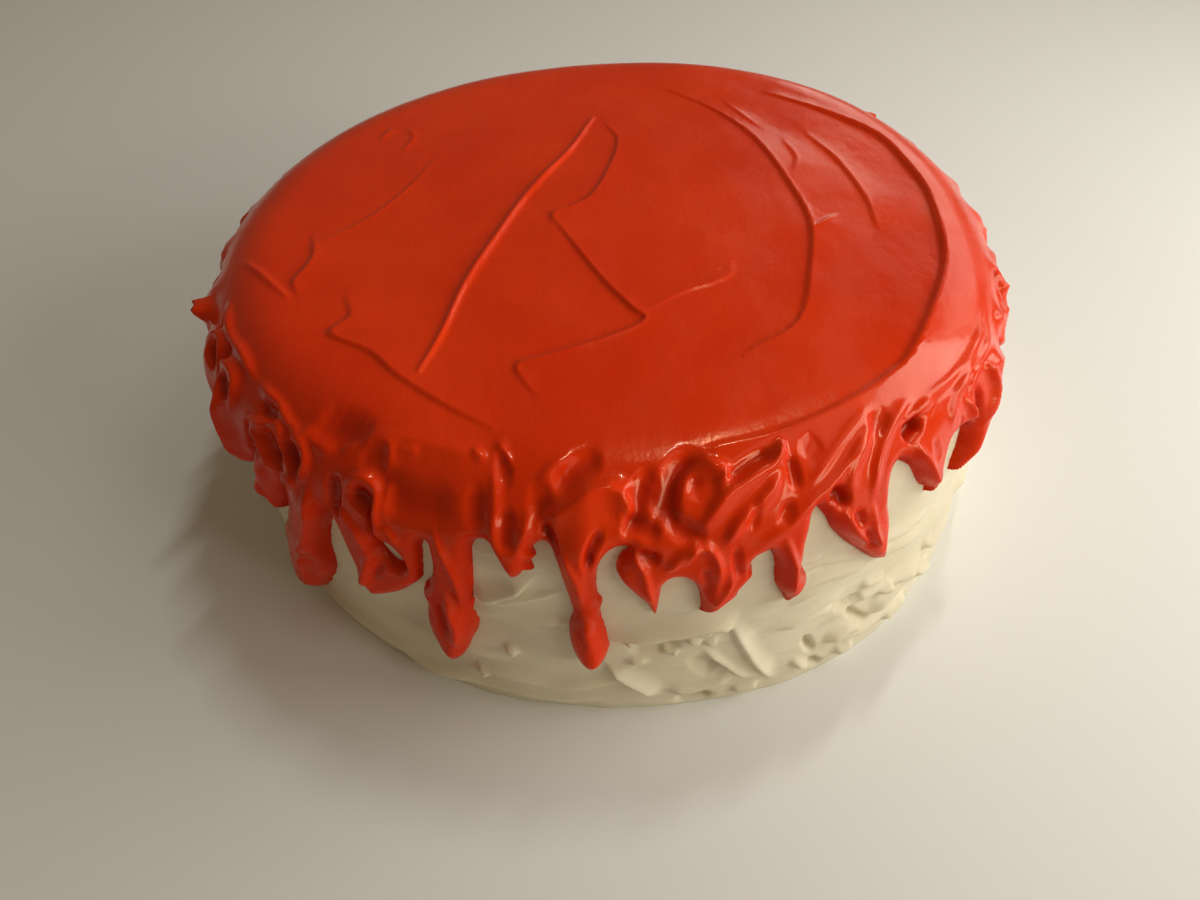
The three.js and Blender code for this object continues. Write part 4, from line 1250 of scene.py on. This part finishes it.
# %% Cream frosting
CREAM_PALE = (0.82, 0.75, 0.56)
CREAM_WARM = (0.75, 0.67, 0.48)
cream_finish, tree, shader = new_finish("cream_frosting", CREAM_PALE, 0.5)
clouds = colour_between(tree, noise(tree, 35.0, 3.0, (1, 1, 2)), CREAM_WARM, CREAM_PALE)
tree.links.new(clouds, shader.inputs["Base Color"])
streaks = noise(tree, 60.0, 5.0, (1, 1, 6))
tree.links.new(number_between(tree, streaks, 0.38, 0.6), shader.inputs["Roughness"])
set_inputs(shader, {
    "Subsurface Weight": 0.2,
    "Subsurface Radius": (1.0, 0.7, 0.4),
    "Subsurface Scale": 0.003,
})
soft = bumped(tree, streaks, 0.0008, 0.4)
grain = bumped(tree, noise(tree, 420.0, 4.0, (1, 1, 2)), 0.00015, 0.35, soft)
tree.links.new(grain, shader.inputs["Normal"])
frosting.data.materials.append(cream_finish)
print("finish of the cream:", cream_finish.name)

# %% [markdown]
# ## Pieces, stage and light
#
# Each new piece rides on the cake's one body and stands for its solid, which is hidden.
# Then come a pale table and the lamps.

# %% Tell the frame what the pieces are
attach(frosting, "root")
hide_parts("frosted_cake")
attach(icing, "root")
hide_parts("red_icing")
print("pieces:", frosting.name, icing.name)

# %% Table
TABLE_HALF = 4.0
TABLE_PALE = (0.84, 0.84, 0.81)
table_shape = bmesh.new()
bmesh.ops.create_grid(table_shape, x_segments=2, y_segments=2, size=TABLE_HALF)
table = mesh_object("table", table_shape)
table_finish, _, _ = new_finish("table_top", TABLE_PALE, 0.6)
table.data.materials.append(table_finish)
print("stage:", table.name)

# %% [markdown]
# Lamps are placed by azimuth and elevation and face the cake. A window high on the right
# and a lamp close on the right light the top and the folds. A bright wall at the back on
# the right gives the pale far rim, softer light comes from the front on the right, and a
# narrow lamp high at the back draws the thin bright line along the front shoulder.

# %% Light
AIM = Vector((0.0, 0.0, 0.04))
WINDOW_WHITE = (1.0, 0.99, 0.95)
scene = bpy.context.scene
scene.view_settings.view_transform = "Standard"
world = bpy.data.worlds.new("room")
world.use_nodes = True
set_inputs(world.node_tree.nodes["Background"], {"Color": (1.0, 0.76, 0.48, 1.0), "Strength": 0.14})
scene.world = world


def window(name, azimuth, elevation, distance, width, height, power, colour):
    """A square lamp that faces the cake from the given direction."""
    lamp_data = bpy.data.lights.new(name, "AREA")
    lamp_data.shape = "RECTANGLE"
    lamp_data.size = width
    lamp_data.size_y = height
    lamp_data.energy = power
    lamp_data.color = colour
    lamp = new_object(name, lamp_data)
    turn_by = math.radians(azimuth)
    tilt_by = math.radians(elevation)
    flat_way = math.cos(tilt_by)
    way = Vector((math.cos(turn_by) * flat_way, math.sin(turn_by) * flat_way, math.sin(tilt_by)))
    lamp.location = way * distance + AIM
    lamp.rotation_euler = way.to_track_quat("Z", "Y").to_euler()


window("window", -14.0, 58.0, 1.15, 0.8, 0.33, 0.75, WINDOW_WHITE)
window("glint", 59.0, 68.0, 1.15, 0.035, 0.24, 2.0, WINDOW_WHITE)
window("side_window", -6.0, 27.0, 0.6, 0.4, 0.28, 1.8, (1.0, 0.98, 0.93))
window("bright_wall", 50.0, 19.0, 1.8, 1.7, 0.6, 5.0, (1.0, 0.95, 0.85))
window("room", -36.0, 18.0, 1.5, 0.6, 0.4, 5.6, (1.0, 0.94, 0.80))
